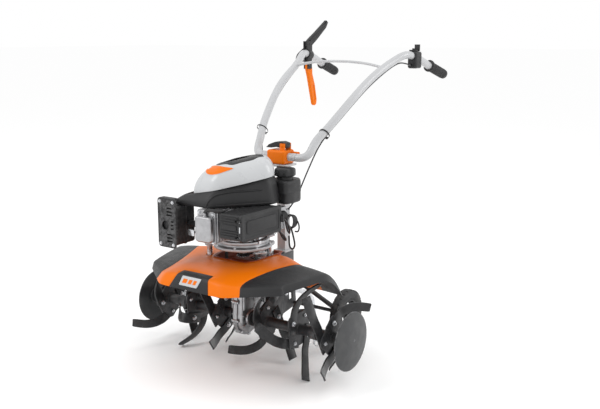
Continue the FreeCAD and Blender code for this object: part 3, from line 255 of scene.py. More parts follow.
def rings(loops, cap=True, closed=False):
    """Skin over rings of equal length."""
    count = len(loops[0])
    points = [Vector(p) for loop in loops for p in loop]
    faces = []
    last = len(loops) if closed else len(loops) - 1
    for i in range(last):
        a = i * count
        b = (i + 1) % len(loops) * count
        faces += [(a + j, a + (j + 1) % count, b + (j + 1) % count, b + j) for j in range(count)]
    if cap and not closed:
        faces += [tuple(reversed(range(count))), tuple(range(len(points) - count, len(points)))]
    return points, faces


def lathe(profile, base, axis, count=48):
    """Turned solid from a profile of (radius, height). Coming back to its start leaves a bore."""
    closed = profile[0] == profile[-1]
    rows = profile[:-1] if closed else profile
    loops = [[(x, y, h) for x, y in circle(r, count)] for r, h in rows]
    return put(rings(loops, cap=not closed, closed=closed), base, axis)


def rod(radius, length, base, axis, count=32):
    return lathe([(radius, 0), (radius, length)], base, axis, count)


def fillet(outline, radius, steps=5):
    """Round the corners of a closed 2D outline."""
    out = []
    count = len(outline)
    for i, here in enumerate(outline):
        p = Vector(here)
        a = Vector(outline[i - 1]) - p
        b = Vector(outline[(i + 1) % count]) - p
        reach = min(radius, a.length * 0.45, b.length * 0.45)
        start = p + a.normalized() * reach
        end = p + b.normalized() * reach
        for k in range(steps + 1):
            t = k / steps
            out.append(start * (1 - t) ** 2 + p * 2 * t * (1 - t) + end * t * t)
    return out


def slab(outline, low, high, axis="z"):
    """Prism over a 2D outline: (x, y) for z, (y, z) for x, (x, z) for y."""
    def lift(p, level):
        return {"z": (p[0], p[1], level), "x": (level, p[0], p[1]), "y": (p[0], level, p[1])}[axis]
    return rings([[lift(p, low) for p in outline], [lift(p, high) for p in outline]])


def block(x0, x1, y0, y1, z0, z1):
    return slab([(x0, y0), (x1, y0), (x1, y1), (x0, y1)], z0, z1)


def rect(a0, a1, b0, b1, radius=0.0, steps=5):
    corners = [(a0, b0), (a1, b0), (a1, b1), (a0, b1)]
    return fillet(corners, radius, steps) if radius else corners


def curve_points(points, per=8, closed=False):
    """Smooth curve through the points."""
    pts = [Vector(p) for p in points]
    count = len(pts)
    out = []
    spans = count if closed else count - 1
    for i in range(spans):
        b, c = pts[i], pts[(i + 1) % count]
        a = pts[i - 1] if closed or i else b * 2 - c
        d = pts[(i + 2) % count] if closed or i + 2 < count else c * 2 - b
        for k in range(per):
            t = k / per
            out.append(0.5 * (2 * b + (c - a) * t + (2 * a - 5 * b + 4 * c - d) * t * t
                              + (3 * b - a - 3 * c + d) * t ** 3))
    return out if closed else out + [pts[-1]]


def even(points, count):
    """Points at even steps along a path."""
    lengths = [0.0]
    for a, b in zip(points, points[1:]):
        lengths.append(lengths[-1] + (b - a).length)
    out = []
    k = 0
    for i in range(count):
        want = lengths[-1] * i / (count - 1)
        while k < len(points) - 2 and lengths[k + 1] < want:
            k += 1
        share = (want - lengths[k]) / (lengths[k + 1] - lengths[k])
        out.append(points[k].lerp(points[k + 1], min(1.0, share)))
    return out


def sweep(path, section, closed=False):
    """Carry a 2D section along a path with the least twist."""
    count = len(path)
    tangents = []
    for i in range(count):
        before = path[i - 1] if closed or i else path[0]
        after = path[(i + 1) % count] if closed or i + 1 < count else path[-1]
        tangents.append((after - before).normalized())
    side = Z_AXIS.cross(tangents[0])
    if side.length < 0.2:
        side = Y_AXIS.cross(tangents[0])
    side.normalize()
    loops = []
    for here, along in zip(path, tangents):
        side = (side - along * side.dot(along)).normalized()
        up = along.cross(side)
        loops.append([here + side * a + up * b for a, b in section])
    return rings(loops, closed=closed)


def turn(count):
    """Even angles round a circle."""
    return [2 * pi * i / count for i in range(count)]


def circle(radius, count=20, flat=1.0):
    return [(radius * cos(a), radius * flat * sin(a)) for a in turn(count)]


def tube(points, radius, closed=False):
    return sweep(curve_points(points, closed=closed), circle(radius, 16), closed)


def helix(radius, wire, length, turns, base, axis):
    path = [Vector((radius * cos(a), radius * sin(a), length * i / (turns * 16)))
            for i, a in ((i, 2 * pi * i / 16) for i in range(turns * 16 + 1))]
    return put(sweep(path, circle(wire, 10)), base, axis)


def hexagon(radius, height, base, axis):
    """Bolt or nut hexagon with its corners turned off at the far face."""
    levels = ((1, 0), (1, height * 0.8), (0.84, height))
    return put(rings([[(x * k, y * k, z) for x, y in circle(radius, 6)] for k, z in levels]), base, axis)


def screw_set(base, axis, radius):
    """Hex head on a washer."""
    rim = radius * 0.22
    washer = lathe([(0.01, 0), (radius * 1.25, 0), (radius * 1.25, rim), (0.01, rim)], base, axis, 28)
    return [hexagon(radius, radius * 0.72, Vector(base) + Vector(axis) * rim, axis), washer]


def hex_screws(name, spots, axis, radius):
    """Group of chassis screws that share one direction."""
    build(name, [shell for spot in spots for shell in screw_set(spot, axis, radius)], "bright_steel",
          bevel=0.2)


STOOD_FOR = set()


def stand_for(made, *names):
    """Let a piece replace CAD nodes."""
    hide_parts(*names)
    STOOD_FOR.update(names)


def build(name, shells, slot, body="chassis", replaces=(), bevel=0.0, segments=2, limit=30.0, angle=35.0):
    """Make one piece from shells, with rounded edges and smooth shading, riding on a body."""
    bm = bmesh.new()
    for points, faces in shells:
        part = bmesh.new()
        verts = [part.verts.new(place(p)) for p in points]
        for face in faces:
            try:
                part.faces.new([verts[i] for i in face])
            except ValueError:
                pass
        bmesh.ops.remove_doubles(part, verts=part.verts, dist=0.000005)
        bmesh.ops.recalc_face_normals(part, faces=part.faces)
        if bevel:
            soften(part, limit, bevel / 1000, segments)
        temp = bpy.data.meshes.new("part")
        part.to_mesh(temp)
        part.free()
        bm.from_mesh(temp)
        bpy.data.meshes.remove(temp)
    mesh = bpy.data.meshes.new(name)
    bm.to_mesh(mesh)
    bm.free()
    made = add_object(name, mesh)
    finish_mesh(made.data, angle)
    made.data.materials.append(MATERIALS[slot])
    if body:
        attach(made, body)
    if replaces:
        stand_for(made, *replaces)
    return made


def stand_in(node_name, shells, **finish):
    """Piece that takes the place of one CAD node, with its slot and its body."""
    return build(node_name + "_look", shells, SLOT_OF[node_name], BODY_OF[node_name], [node_name], **finish)


def apply_modifiers(made):
    graph = bpy.context.evaluated_depsgraph_get()
    mesh = bpy.data.meshes.new_from_object(made.evaluated_get(graph))
    old = made.data
    made.modifiers.clear()
    made.data = mesh
    bpy.data.meshes.remove(old)


def carve(made, shells, operation="DIFFERENCE"):
    """Cut shells out of a piece, or keep what lies inside them."""
    cutter = build("cutter", shells, "frame_paint", None)
    modifier = made.modifiers.new("cut", "BOOLEAN")
    modifier.operation = operation
    modifier.solver = "EXACT"
    modifier.use_self = True
    modifier.object = cutter
    apply_modifiers(made)
    finish_mesh(made.data)
    bpy.data.objects.remove(cutter)


def round_edges(made, width, limit=35.0):
    """Bevel the sharp edges of a finished mesh."""
    bm = bmesh.new()
    bm.from_mesh(made.data)
    bmesh.ops.remove_doubles(bm, verts=bm.verts, dist=0.00001)
    bmesh.ops.dissolve_limit(bm, angle_limit=radians(1.0), verts=bm.verts, edges=bm.edges)
    soften(bm, limit, width / 1000)
    bm.to_mesh(made.data)
    bm.free()
    finish_mesh(made.data)


# Hood, fenders and front panel

HOOD_COLUMNS = (
    ((0, -280, 321), (0, -264, 365), (0, -208, 374), (0, -130, 377), (0, -60, 379), (0, 76, 379),
     (0, 122, 338), (0, 160, 250)),
    ((70, -280, 321), (68, -264, 364), (62, -207, 374), (58, -130, 377), (58, -60, 379), (66, 76, 379),
     (70, 122, 338), (70, 160, 250)),
    ((131, -279, 322), (120, -262, 358), (106, -206, 372), (106, -130, 377), (112, -60, 379),
     (128, 66, 379), (136, 116, 338), (136, 160, 250)),
    ((173, -246, 324), (163, -230, 347), (154, -199, 357), (166, -130, 366), (184, -60, 375),
     (214, 8, 378), (214, 88, 336), (208, 160, 250)),
    ((224, -207, 324), (218, -194, 348), (212, -178, 355), (226, -120, 361), (240, -60, 367),
     (268, 16, 371), (262, 90, 328), (246, 162, 247)),
    ((272, -169, 325), (270, -162, 347), (266, -153, 354), (280, -106, 356), (294, -60, 358),
     (312, 22, 361), (302, 93, 318), (284, 163, 245)),
    ((273, -163, 324), (273, -156, 325), (272, -146, 327), (284, -104, 331), (298, -60, 334),
     (315, 24, 336), (306, 90, 300), (288, 157, 242)),
)
OPENING = [(-66, -84), (66, -84), (84, -40), (84, 96), (-84, 96), (-84, -40)]
ROW_CREASE = {1: 0.45, 5: 0.35}
CENTRE_CREASE = {1: 0.3, 5: 0.3}
STANDOFFS = ((-100, -66), (62, 54), (-70, 70))


def skin(node_name, columns, column_crease, slot, thickness=3.0, lift=0.0):
    """Smooth moulded sheet over a grid of columns, with soft creases along the rim and chosen columns."""
    name = node_name + "_look"
    rows = len(columns[0])
    mesh = bpy.data.meshes.new(name)
    points = [place(p) for column in columns for p in column]
    faces = [(i * rows + j, i * rows + j + 1, (i + 1) * rows + j + 1, (i + 1) * rows + j)
             for i in range(len(columns) - 1) for j in range(rows - 1)]
    mesh.from_pydata(points, [], faces)
    mesh.update()
    layer = mesh.attributes.new("crease_edge", "FLOAT", "EDGE")
    for edge in mesh.edges:
        a, b = edge.vertices
        if a // rows != b // rows:
            layer.data[edge.index].value = ROW_CREASE.get(a % rows, 0.0)
        else:
            layer.data[edge.index].value = column_crease.get(a // rows, 0.0)
    made = add_object(name, mesh)
    bm = bmesh.new()
    bm.from_mesh(mesh)
    bmesh.ops.recalc_face_normals(bm, faces=bm.faces)
    if sum(f.normal.z for f in bm.faces) < 0:
        bmesh.ops.reverse_faces(bm, faces=bm.faces)
    bm.to_mesh(mesh)
    bm.free()
    smooth = made.modifiers.new("smooth", "SUBSURF")
    smooth.levels = smooth.render_levels = 3
    smooth.boundary_smooth = "PRESERVE_CORNERS"
    solid = made.modifiers.new("thick", "SOLIDIFY")
    solid.thickness = thickness / 1000
    solid.offset = -1.0 + 2.0 * lift / thickness
    solid.use_even_offset = True
    apply_modifiers(made)
    finish_mesh(made.data)
    made.data.materials.append(MATERIALS[slot])
    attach(made, "chassis")
    stand_for(made, node_name)
    return made


def hood():
    mirrored_columns = [[(-x, y, z) for x, y, z in column] for column in HOOD_COLUMNS[:0:-1]]
    columns = mirrored_columns + [list(c) for c in HOOD_COLUMNS]
    centre = skin("hood_centre", columns[3:10], CENTRE_CREASE, "orange_plastic")
    legs = [rod(13.5, 90, (x, y, 335), Z_AXIS) for x, y in STANDOFFS]
    notch = block(-48, 48, 92, 200, 200, 420)
    carve(centre, [slab(fillet(OPENING, 14), 340, 420)])
    carve(centre, [notch] + legs)
    carve(centre, [slab(fillet(panel_outline(0.7), 7), -300, -236, "y")])
    round_edges(centre, 0.8)
    panel = skin("front_panel", columns[3:10], CENTRE_CREASE, "black_plastic", 5.0, 1.0)
    carve(panel, [slab(fillet(panel_outline(0.0), 7), -300, -236, "y")], "INTERSECT")
    round_edges(panel, 0.7)
    right = skin("fender_right", columns[0:4], {1: 0.75}, "black_plastic")
    carve(right, legs)
    round_edges(right, 0.8)
    left = skin("fender_left", columns[9:13], {2: 0.75}, "black_plastic")
    round_edges(left, 0.8)


def panel_outline(g):
    """Front panel's outline grown by g."""
    return [(-92 - g, 310), (-58 - g, 372.5 + g), (60 + g, 372.5 + g), (80 + g, 310)]


def on_facet(x, z, stand):
    """A point standing off the hood's sloping front."""
    return Vector((x, -280 + (z - 321) * 16 / 44 - stand * 0.94, z + stand * 0.34))


def facet_plate(outline, low, high):
    return rings([[on_facet(x, z, low) for x, z in outline], [on_facet(x, z, high) for x, z in outline]])


def badge():
    plate = fillet([(-47, 333), (27, 333), (40, 362), (-38, 362)], 3.0)
    build("name_plate_blank", [facet_plate(plate, 0.2, 1.5)], "white_plastic", bevel=0.5)
    bars = [facet_plate([(low, 341), (high, 341), (high + 5, 354), (low + 5, 354)], 1.2, 1.9)
            for low, high in ((-36, -18), (-12, 2), (8, 20))]
    build("name_plate_bars", bars, "orange_plastic", bevel=0.2)


def tray():
    """Moulded pan in the hood's opening, with its screw bosses and ribs."""
    floor = fillet(OPENING, 14)
    inner = fillet([(-62, -80), (62, -80), (80, -38), (80, 92), (-80, 92), (-80, -38)], 12)
    rim = fillet([(-70, -88), (70, -88), (88, -42), (88, 100), (-88, 100), (-88, -42)], 15)

    def lift(points, z):
        return [(p[0], p[1], z) for p in points]
    pan = rings([lift(floor, 352), lift(floor, 377), lift(rim, 379.6), lift(rim, 381.2), lift(inner, 379.2),
                 lift(inner, 356), lift([p * 0.5 for p in inner], 355)])
    # The pan and its bosses wear the darkened recess plastic, whose deep red is painted shade of the hollow.
    made = build("recess_pan", [pan], "tray_plastic", replaces=["belt_tray"], bevel=0.5)
    cutters = [rod(20, 60, (0, 56, 330), Z_AXIS), block(-48, 48, 88, 200, 200, 420)]
    carve(made, cutters + [rod(13.5, 90, (x, y, 335), Z_AXIS) for x, y in STANDOFFS])
    ribs = [slab(rect(-50, 50, y, y + 2.5, 0), 354, 362) for y in (-40, -12)]
    ribs += [rod(9, 7, (x, -66, 355), Z_AXIS, 28) for x in (14, -44)]
    build("recess_bosses", ribs, "tray_plastic", bevel=0.6)
    heads = []
    for x in (14, -44):
        heads += [lathe([(0.01, 0), (5.5, 0), (5.4, 1.4), (3.6, 2.6), (0.01, 2.8)], (x, -66, 362), Z_AXIS,
                        28)]
        heads += [hexagon(2.4, 0.8, (x, -66, 364.4), Z_AXIS)]
    build("recess_screws", heads, "bright_steel")


hood()
badge()
tray()


# Rotor

STARS = ((93, 28, -1), (220, -102, 1), (352, 30, 1), (-93, 30, 1), (-220, -102, -1), (-352, 28, -1))
TUBE_R = 17
OUTER_FROM = 300
TIP_RADIUS = 163.6
TINE_LINE = ((0, -16, 47), (0, 10, 47), (0, 45, 46), (0, 75, 42), (0, 105, 33), (0, 130, 17), (0, 156, -8.5))


def tine_blade(side):
    """Sickle blade that bends to one side past its carrier, with rounded edges all along."""
    line = even(curve_points(TINE_LINE, 12), 31)

    def at(s):
        spot = min(1.0, max(0.0, s)) * 30
        i = min(int(spot), 29)
        flat = line[i].lerp(line[i + 1], spot - i)
        bend = max(0.0, (s - 0.42) / 0.58) ** 1.5
        return Vector((side * (5 + 51 * bend), flat.y, flat.z))
    loops = []
    for i in range(31):
        s = i / 30
        ahead = (at(s + 0.01) - at(s - 0.01)).normalized()
        across = Z_AXIS - ahead * ahead.z
        across.normalize()
        through = ahead.cross(across)
        half = 18.0 * (1.0 - 0.1 * s)
        shape = rect(-half, half, -2.5, 2.5, 1.1, 3)
        loops.append([at(s) + across * a + through * b for a, b in shape])
    return rings(loops)


def on_star(shell, x, angle):
    return shifted(turned(shell, angle, (0, 0, 0), X_AXIS), (x, 0, AXLE_Z))


def tines(name, side):
    blades = []
    for x, phase, first in STARS:
        if x * side > 0:
            blades += [on_star(tine_blade(first if k % 2 == 0 else -first), x,
                               phase + 90 * k) for k in range(4)]
    made = stand_in(name, blades)
    carve(made, [rod(TIP_RADIUS, 900, (-450, 0, AXLE_Z), X_AXIS, 128)], "INTERSECT")
    round_edges(made, 0.9, limit=50.0)


def carrier(x, phase):
    corners = [radians(62 + 90 * k + lean) for k in range(4) for lean in (-6, 6)]
    outline = [(72 * cos(a), 72 * sin(a)) for a in corners]
    return on_star(slab(fillet(outline, 5, 3), -2.5, 2.5, "x"), x, phase)


def weld(x, radius):
    """Rippled bead round a tube."""
    ripples = 26
    loops = []
    for angle in turn(ripples * 5):
        size = 2.3 + 0.5 * abs(sin(angle * ripples / 2))
        out = Vector((0, cos(angle), sin(angle)))
        loops.append([Vector((x + size * a, 0, AXLE_Z)) + out * (radius + size * b) for a, b in circle(1, 8)])
    return rings(loops, closed=True)


def sleeves():
    """Inner and outer tubes with collars, carriers and weld beads."""
    for side, label in SIDES:
        inner = [lathe([(12.6, 38), (16.4, 38), (17, 38.8), (17, 50), (21, 50), (22, 51), (22, 64), (21, 65),
                        (17, 65),
                        (17, 268), (21, 268), (22, 270), (22, 295), (21, 296), (17, 296), (16.4, 300),
                        (12.6, 300), (12.6, 38)], AXLE, (side, 0, 0), 56)]
        outer = [lathe([(9, 300.3), (16.4, 300.3), (17, 301.5), (17, 420), (29, 420), (30, 421), (30, 423.6),
                        (9, 423.6), (9, 300.3)], AXLE, (side, 0, 0), 56),
                 lathe([(0.01, 250), (11, 250), (12.4, 251.4), (12.4, 302), (0.01, 302)], AXLE,
                       (side, 0, 0), 40)]
        for x, phase, _ in STARS:
            if x * side > 0:
                shells = outer if abs(x) > OUTER_FROM else inner
                shells.extend([carrier(x, phase), weld(x + 3.4, TUBE_R + 0.6), weld(x - 3.4, TUBE_R + 0.6)])
        outer.append(weld(side * 418.6, TUBE_R + 0.6))
        for node_name, shells in (("inner_rotor_" + label, inner), ("outer_rotor_" + label, outer)):
            build(node_name + "_look", shells, "frame_paint", "rotor", [node_name], bevel=0.7)


def rotor_screws():
    screws = []
    for x, phase, first in STARS:
        for k in range(4):
            side = first if k % 2 == 0 else -first
            head = screw_set((side * 7.5, 20, 46), (side, 0, 0), 7.0)
            nut = [hexagon(7.0, 5.0, (-side * 2.5, 20, 46), (-side, 0, 0)),
                   lathe([(4, 0), (4, 7), (3.3, 8), (0.01, 8)], (-side * 2.5, 20, 46), (-side, 0, 0), 20)]
            screws += [on_star(shell, x, phase + 90 * k) for shell in head + nut]
    build("tine_screws", screws, "bright_steel", "rotor", replaces=["rotor_fasteners"], bevel=0.25)
    pins = []
    for x in (58, -58, 280, -280):
        up = 1 if x < 0 else -1
        pins.append(lathe([(0.01, -31), (7, -31), (7.5, -30), (7.5, -27.6), (6.8, -27), (4, -27), (4, 37),
                           (2.6, 39), (0.01, 39)], (x, 0, AXLE_Z), (0, 0, up), 32))
        ring = [Vector((x + 7.5 + 9 * cos(a), 0.6 * sin(a / 2), AXLE_Z + up * 34.5 + 9 * sin(a)))
                for a in turn(40)[:39]]
        pins.append(sweep(ring, circle(1.35, 12)))
    build("hitch_pins", pins, "bright_steel", "rotor")


def discs():
    rows = [(0.01, 427.0), (20, 427.0), (22, 424.0), (28, 424.0)]
    face = [(r, 430 - 9 * (r / 95.0) ** 2) for r in (93.4, 88, 80, 70, 60, 50, 40, 30, 20, 12, 6, 0.01)]
    back = [(r, 426.9 - 9 * (r / 95.0) ** 2) for r in (30, 45, 60, 75, 88, 93.2)]
    rim = [(95, 417.6), (95, 420.4)]
    for side, label in SIDES:
        dish = lathe(rows + back + rim + face, AXLE, (side, 0, 0), 120)
        stand_in("plant_disc_" + label, [dish], bevel=0.5, angle=40)


tines("tines_left", 1)
tines("tines_right", -1)
sleeves()
rotor_screws()
discs()


# Gearbox and drive levers

def case_ring(x, inset):
    """Side outline of the casting, drawn in by an amount: a drum round the axle with a neck above it."""
    r = 54 - inset
    points = [(r * cos(a), AXLE_Z + r * sin(a)) for a in (pi + pi * i / 18 for i in range(1, 18))]
    points = [(-r, AXLE_Z)] + points + [(r, AXLE_Z - 10), (80 - inset, AXLE_Z + 26), (80 - inset, 334),
                                        (-46 + inset * 0.6, 334), (-50 + inset * 0.6, 268)]
    return [(x, y, z) for y, z in fillet(points, 9, 4)]


def gearbox():
    levels = ((0.2, -8), (6.0, -8), (7.0, -7), (7.2, -0.5), (9, 0), (15, 1.2), (19, 4), (22, 8.5), (24, 16))
    for side, label in SIDES:
        shells = [rings([case_ring(side * x, k) for x, k in levels]),
                  lathe([(12.6, 0.5), (34, 0.5), (34, 22), (31.5, 25), (31, 29), (29, 30), (12.6, 30),
                         (12.6, 0.5)], AXLE, (side, 0, 0), 56),
                  slab(rect(-58, -30, 323, 334, 3), side * 4, side * 50, "x")]
        for low, high, y in ((196, 326, -44), (214, 326, 14), (196, 326, 66)):
            shells.append(slab(rect(y, y + 6, low, high, 2.5), side * 10, side * 27.5, "x"))
        for k in range(7):
            spoke = slab(rect(-2.2, 2.2, 29, 50, 1.5), side * 14, side * 26, "x")
            shells.append(shifted(turned(spoke, 45 * k + 70, (0, 0, 0), X_AXIS), AXLE))
        spots = [(-58 * cos(a), AXLE_Z + 58 * sin(a)) for a in map(radians, (-90, -45, -135, 0))]
        spots += [(-57, 225), (-57, 290), (83, 290), (83, 225)]
        shells += [lathe([(3.1, 0.3), (7, 0.3), (7, 10.2), (6.2, 11), (3.1, 11), (3.1, 0.3)], (0, y, z),
                         (side, 0, 0), 28) for y, z in spots]
        stand_in("gearbox_half_" + label, shells, bevel=0.9, segments=3, limit=40)


def reverse_lever():
    outline = [(698, 991), (721, 991), (729, 984), (735, 966), (735, 946), (754, 900), (768, 838), (764, 820),
               (752, 814), (741, 820), (722, 888), (706, 940), (695, 968)]
    made = stand_in("reverse_lever", [slab(fillet(outline, 9, 5), -242.5, -230.5, "x")], bevel=2.4,
                    segments=4)
    groove = fillet([(729, 894), (745, 900), (758, 842), (746, 832)], 5, 5)
    carve(made, [slab(groove, -246, -240.8, "x"), slab(groove, -232.2, -228, "x"),
                 rod(7, 5, (-244, 726, 968), X_AXIS, 32), rod(4.1, 20, (-246, 709, 980), X_AXIS, 32)])
    round_edges(made, 0.7)


gearbox()
reverse_lever()


# Engine

BLOWER_PLAN = ((-150, -181), (4, -184), (126, -14), (122, 38), (52, 44), (52, 128), (-60, 140), (-138, 92))
COVER_PLAN = ((-84, -163), (6, -160), (72, -92), (119, -14), (108, 30), (50, 38), (44, 116), (-50, 124),
              (-112, 74), (-112, -90))
VENT_PLAN = ((-34, -96), (26, -92), (66, -36), (70, 8), (30, 66), (-46, 72), (-74, 30), (-70, -60))
COVER_LEVELS = ((1.0, 632.2), (1.0, 641), (0.985, 651), (0.952, 664), (0.9, 676), (0.82, 688), (0.72, 697),
                (0.61, 703), (0.5, 706.6))


def plan_ring(plan, factor, z, radius):
    """Plan outline shrunk about its middle; above the rim it leans towards the tank side."""
    out = []
    share = min(1.0, max(0.0, (z - 575) / 57))
    for p in fillet(plan, radius, 6):
        x = -10 + (p[0] + 10) * factor
        y = -15 + (p[1] + 15) * factor
        out.append((x, y, z + share * (0.2 * x + 0.08 * y)))
    return out


def shell_of(plan, levels, radius, wall):
    """Hollow moulding: outer skin up, inner skin back down."""
    outer = [plan_ring(plan, f, z, radius) for f, z in levels]
    inner = [plan_ring(plan, f - wall, z - (1.5 if k == len(levels) - 1 else 0.3), radius)
             for k, (f, z) in enumerate(levels)]
    return rings(outer + inner[::-1], closed=True)


def covers():
    levels = ((0.985, 566), (1.0, 569), (0.995, 582), (0.972, 597), (0.93, 614), (0.868, 630), (0.855, 631.9))
    shroud = stand_in("blower_housing", [shell_of(BLOWER_PLAN, levels, 16, 0.03)], angle=28)
    tank_corner = block(40, 150, 30, 150, 555, 642)
    carve(shroud, [tank_corner])
    round_edges(shroud, 0.8)
    lugs = []
    for x, y in ((-128, -150), (-2, -160), (98, -30), (-112, 70)):
        lugs += [lathe([(0.01, 560), (8, 560), (8, 583), (6.5, 585), (0.01, 585)], (x, y, 0), Z_AXIS, 28)]
    build("blower_lugs", lugs, "black_plastic", bevel=0.4)
    rim_loops = [plan_ring(BLOWER_PLAN, f, z, 16) for f, z in ((0.995, 571.0), (1.004, 572.2), (1.004, 574.6),
                                                               (0.994, 576.0))]
    beading = build("blower_beading", [rings(rim_loops, closed=True)], "black_plastic", angle=50)
    carve(beading, [tank_corner])
    cover = stand_in("top_cover", [shell_of(COVER_PLAN, COVER_LEVELS, 20, 0.035)], angle=45)
    crown = rings([plan_ring(COVER_PLAN, f, z, 20) for f, z in COVER_LEVELS[4:]]
                  + [plan_ring(COVER_PLAN, 0.3, 708.2, 20), plan_ring(COVER_PLAN, 0.3, 704.0, 20)]
                  + [plan_ring(COVER_PLAN, f - 0.03, z - 3, 20) for f, z in COVER_LEVELS[:3:-1]])
    carve(cover, [slab([(x * 1.02, y * 1.02) for x, y in fillet(VENT_PLAN, 12)], 640, 740)])
    round_edges(cover, 0.9, limit=40)
    grille = stand_in("intake_grille", [crown], angle=45)
    carve(grille, [slab(fillet(VENT_PLAN, 12), 640, 740)], "INTERSECT")
    rows = [-78 + 12.5 * i for i in range(12)]
    carve(grille, [slab(rect(-62, 12, y, y + 6.0, 2.4), 640, 740) for y in rows])
    round_edges(grille, 0.5, limit=40)
    floor = [plan_ring(COVER_PLAN, f, z - 9, 20) for f, z in COVER_LEVELS[4:]]
    backing = build("grille_screen", [rings(floor)], "frame_paint", angle=45)
    carve(backing, [slab([(x * 0.97, y * 0.97) for x, y in fillet(VENT_PLAN, 12)], 640, 740)], "INTERSECT")


def onto(tree, x, y, stand):
    """Surface point seen from the front left, x to the right and y up from the inlay's middle."""
    facing = Vector((0.5642, -0.8010, 0.2006))
    right = Vector((0.8176, 0.5759, 0.0))
    start = place(Vector((-6, -121, 680)) + right * x + facing.cross(right) * y) + facing * 0.3
    hit, normal = tree.ray_cast(start, -facing)[:2]
    if hit is None:
        hit, normal = tree.find_nearest(start - facing * 0.3)[:2]
    return (hit + normal * stand / 1000 - Vector((0, AXLE_Y, 0))) * 1000


def surface_of(name):
    return BVHTree.FromObject(bpy.data.objects[name], bpy.context.evaluated_depsgraph_get())


def teardrop():
    """Pointed orange inlay with a pale rim, laid on the cover's shoulder."""
    tree = surface_of("top_cover_look")
    edge = curve_points([(x, y, 0) for x, y in ((-44, -1), (-38, 10), (-24, 15), (-4, 14.5), (18, 10),
                                                (46, 5),
                                                (22, -5), (-2, -13), (-22, -15), (-38, -11))], 5, closed=True)

    def laid(scale, stand):
        return [onto(tree, p.x * scale, p.y * scale, stand) for p in edge]
    steps = (0.98, 0.8, 0.6, 0.4, 0.2, 0.02)
    build("cover_inlay_rim", [rings([laid(1.1, -1.0), laid(1.1, 0.5)] + [laid(1.08 * k,
                                                                              0.9) for k in steps])],
                                                                              "white_plastic", angle=50)
    build("cover_inlay", [rings([laid(1.0, 0.2), laid(1.0, 1.1)] + [laid(k, 1.5) for k in steps])],
          "orange_plastic", angle=50)


def shroud_ridge():
    """Moulded crease that rises from the shroud's front corner and runs back along its side."""
    tree = surface_of("blower_housing_look")
    line = curve_points([(x, y, 0) for x, y in ((-38, -116), (-29, -98), (-6, -80), (40, -70), (90, -66),
                                                (136, -62))], 10)
    spine = [onto(tree, p.x, p.y, -1.2) for p in line]
    build("shroud_crease", [sweep(spine, circle(4.2, 18, 0.8))], "black_plastic", angle=60)


def air_box():
    case = block(59, 139, -200, 0, 482, 562)
    made = stand_in("air_cleaner_box", [case], bevel=4.0, segments=4)
    carve(made, [rod(84.4, 200, (0, -12, 400), Z_AXIS, 96), block(63, 146, -196, -4, 486, 558)])
    round_edges(made, 0.7)
    ribs = [slab(rect(66, 132, z, z + 3, 1.2), -202.4, -199, "y") for z in (492, 500, 508, 536, 544, 552)]
    ribs += [slab(rect(72, 128, 514, 530, 3), -202.0, -199, "y")]
    ribs += [slab(rect(x, x + 2.4, -190, -10, 1.0), 561.5, 563.6) for x in (72, 84, 96, 108, 120, 132)]
    ribs += [block(131, 139, -211, -199, z, z + 5) for z in (492, 544)]
    ribs += [block(131, 148, -211, -204, z, z + 5) for z in (492, 544)]
    build("air_cleaner_ribs", ribs, "black_plastic", bevel=0.5)
    build("air_cleaner_pin", [rod(2, 57, (146, -207, 492), Z_AXIS, 20)], "bright_steel")
    duct = [lathe([(12, 0), (16, 0), (16, 5), (17.5, 6), (17.5, 10), (16, 11), (16, 22), (12, 22), (12, 0)],
                  (100, 0, 520), Y_AXIS, 40)]
    build("air_cleaner_duct", duct, "black_plastic", bevel=0.3)
    lid = stand_in("air_cleaner_cover", [slab(rect(-203, 2, 479, 565, 12, 6), 139.3, 150.2, "x")], bevel=2.2,
                   segments=4)
    carve(lid, [block(138, 147, -198, -3, 484, 560), slab(rect(-190, -12, 490, 554, 10, 6), 148.8, 156, "x")])
    round_edges(lid, 0.8)
    parts = [slab(rect(-176, -26, 502, 542, 8, 6), 147.5, 150.6, "x"),
             slab(rect(2, 8, 508, 534, 1.5), 140, 156, "x"), slab(rect(-3, 8, 512, 530, 2), 150, 153.6, "x")]
    for z in (498, 530):
        parts += [lathe([(2.05, 0), (4, 0), (4, 13), (2.05, 13), (2.05, 0)], (146, -207, z), Z_AXIS, 28),
                  block(143, 149, -205.2, -200, z, z + 13)]
    build("air_cleaner_lid_parts", parts, "black_plastic", "air_cleaner_lid", bevel=0.8, segments=3)


def exhaust():
    stand_in("muffler", [block(-180, -112, -211, -120, 434, 562)], bevel=9.0, segments=5)
    seam = [slab(rect(-182, -110, 432, 564, 10), -166, -163, "y")]
    seam += [slab(rect(-170, -122, z, z + 7, 3), -213, -209, "y") for z in (450, 466, 526, 542)]
    build("muffler_seam", seam, "muffler_steel", bevel=1.0, segments=3)
    pipes = [tube([(-116, -150, 500), (-96, -150, 500), (-70, -150, 500), (-44, -150, 500)], 10.8),
             slab(rect(-172, -128, 478, 522, 8), -49, -42, "x")]
    build("exhaust_pipe", pipes, "muffler_steel", bevel=0.8)
    guard = stand_in("muffler_guard", [slab(rect(-186, -106, 426, 590, 14, 6), -220, -196, "y")], bevel=3.0,
                     segments=4)
    cuts = [slab(rect(-183.5, -108.5, 422, 587, 12, 6), -217.5, -190, "y"),
            block(-112, -100, -217.4, -190, 420, 600), rod(15, 12, (-152, -225, 500), Y_AXIS, 48)]
    for z in (446, 457, 468, 532, 543, 554, 565):
        cuts.append(slab(rect(-146, -122, z, z + 5, 2.4), -225, -215, "y"))
    for z in (488, 500, 512):
        cuts.append(slab(rect(-128, -116, z, z + 5, 2.4), -225, -215, "y"))
    carve(guard, cuts)
    round_edges(guard, 0.6)
    spots = [(x, -220, z) for x, z in ((-174, 438), (-118, 438), (-174, 578), (-118, 578))]
    hex_screws("guard_screws", spots, (0, -1, 0), 4.6)


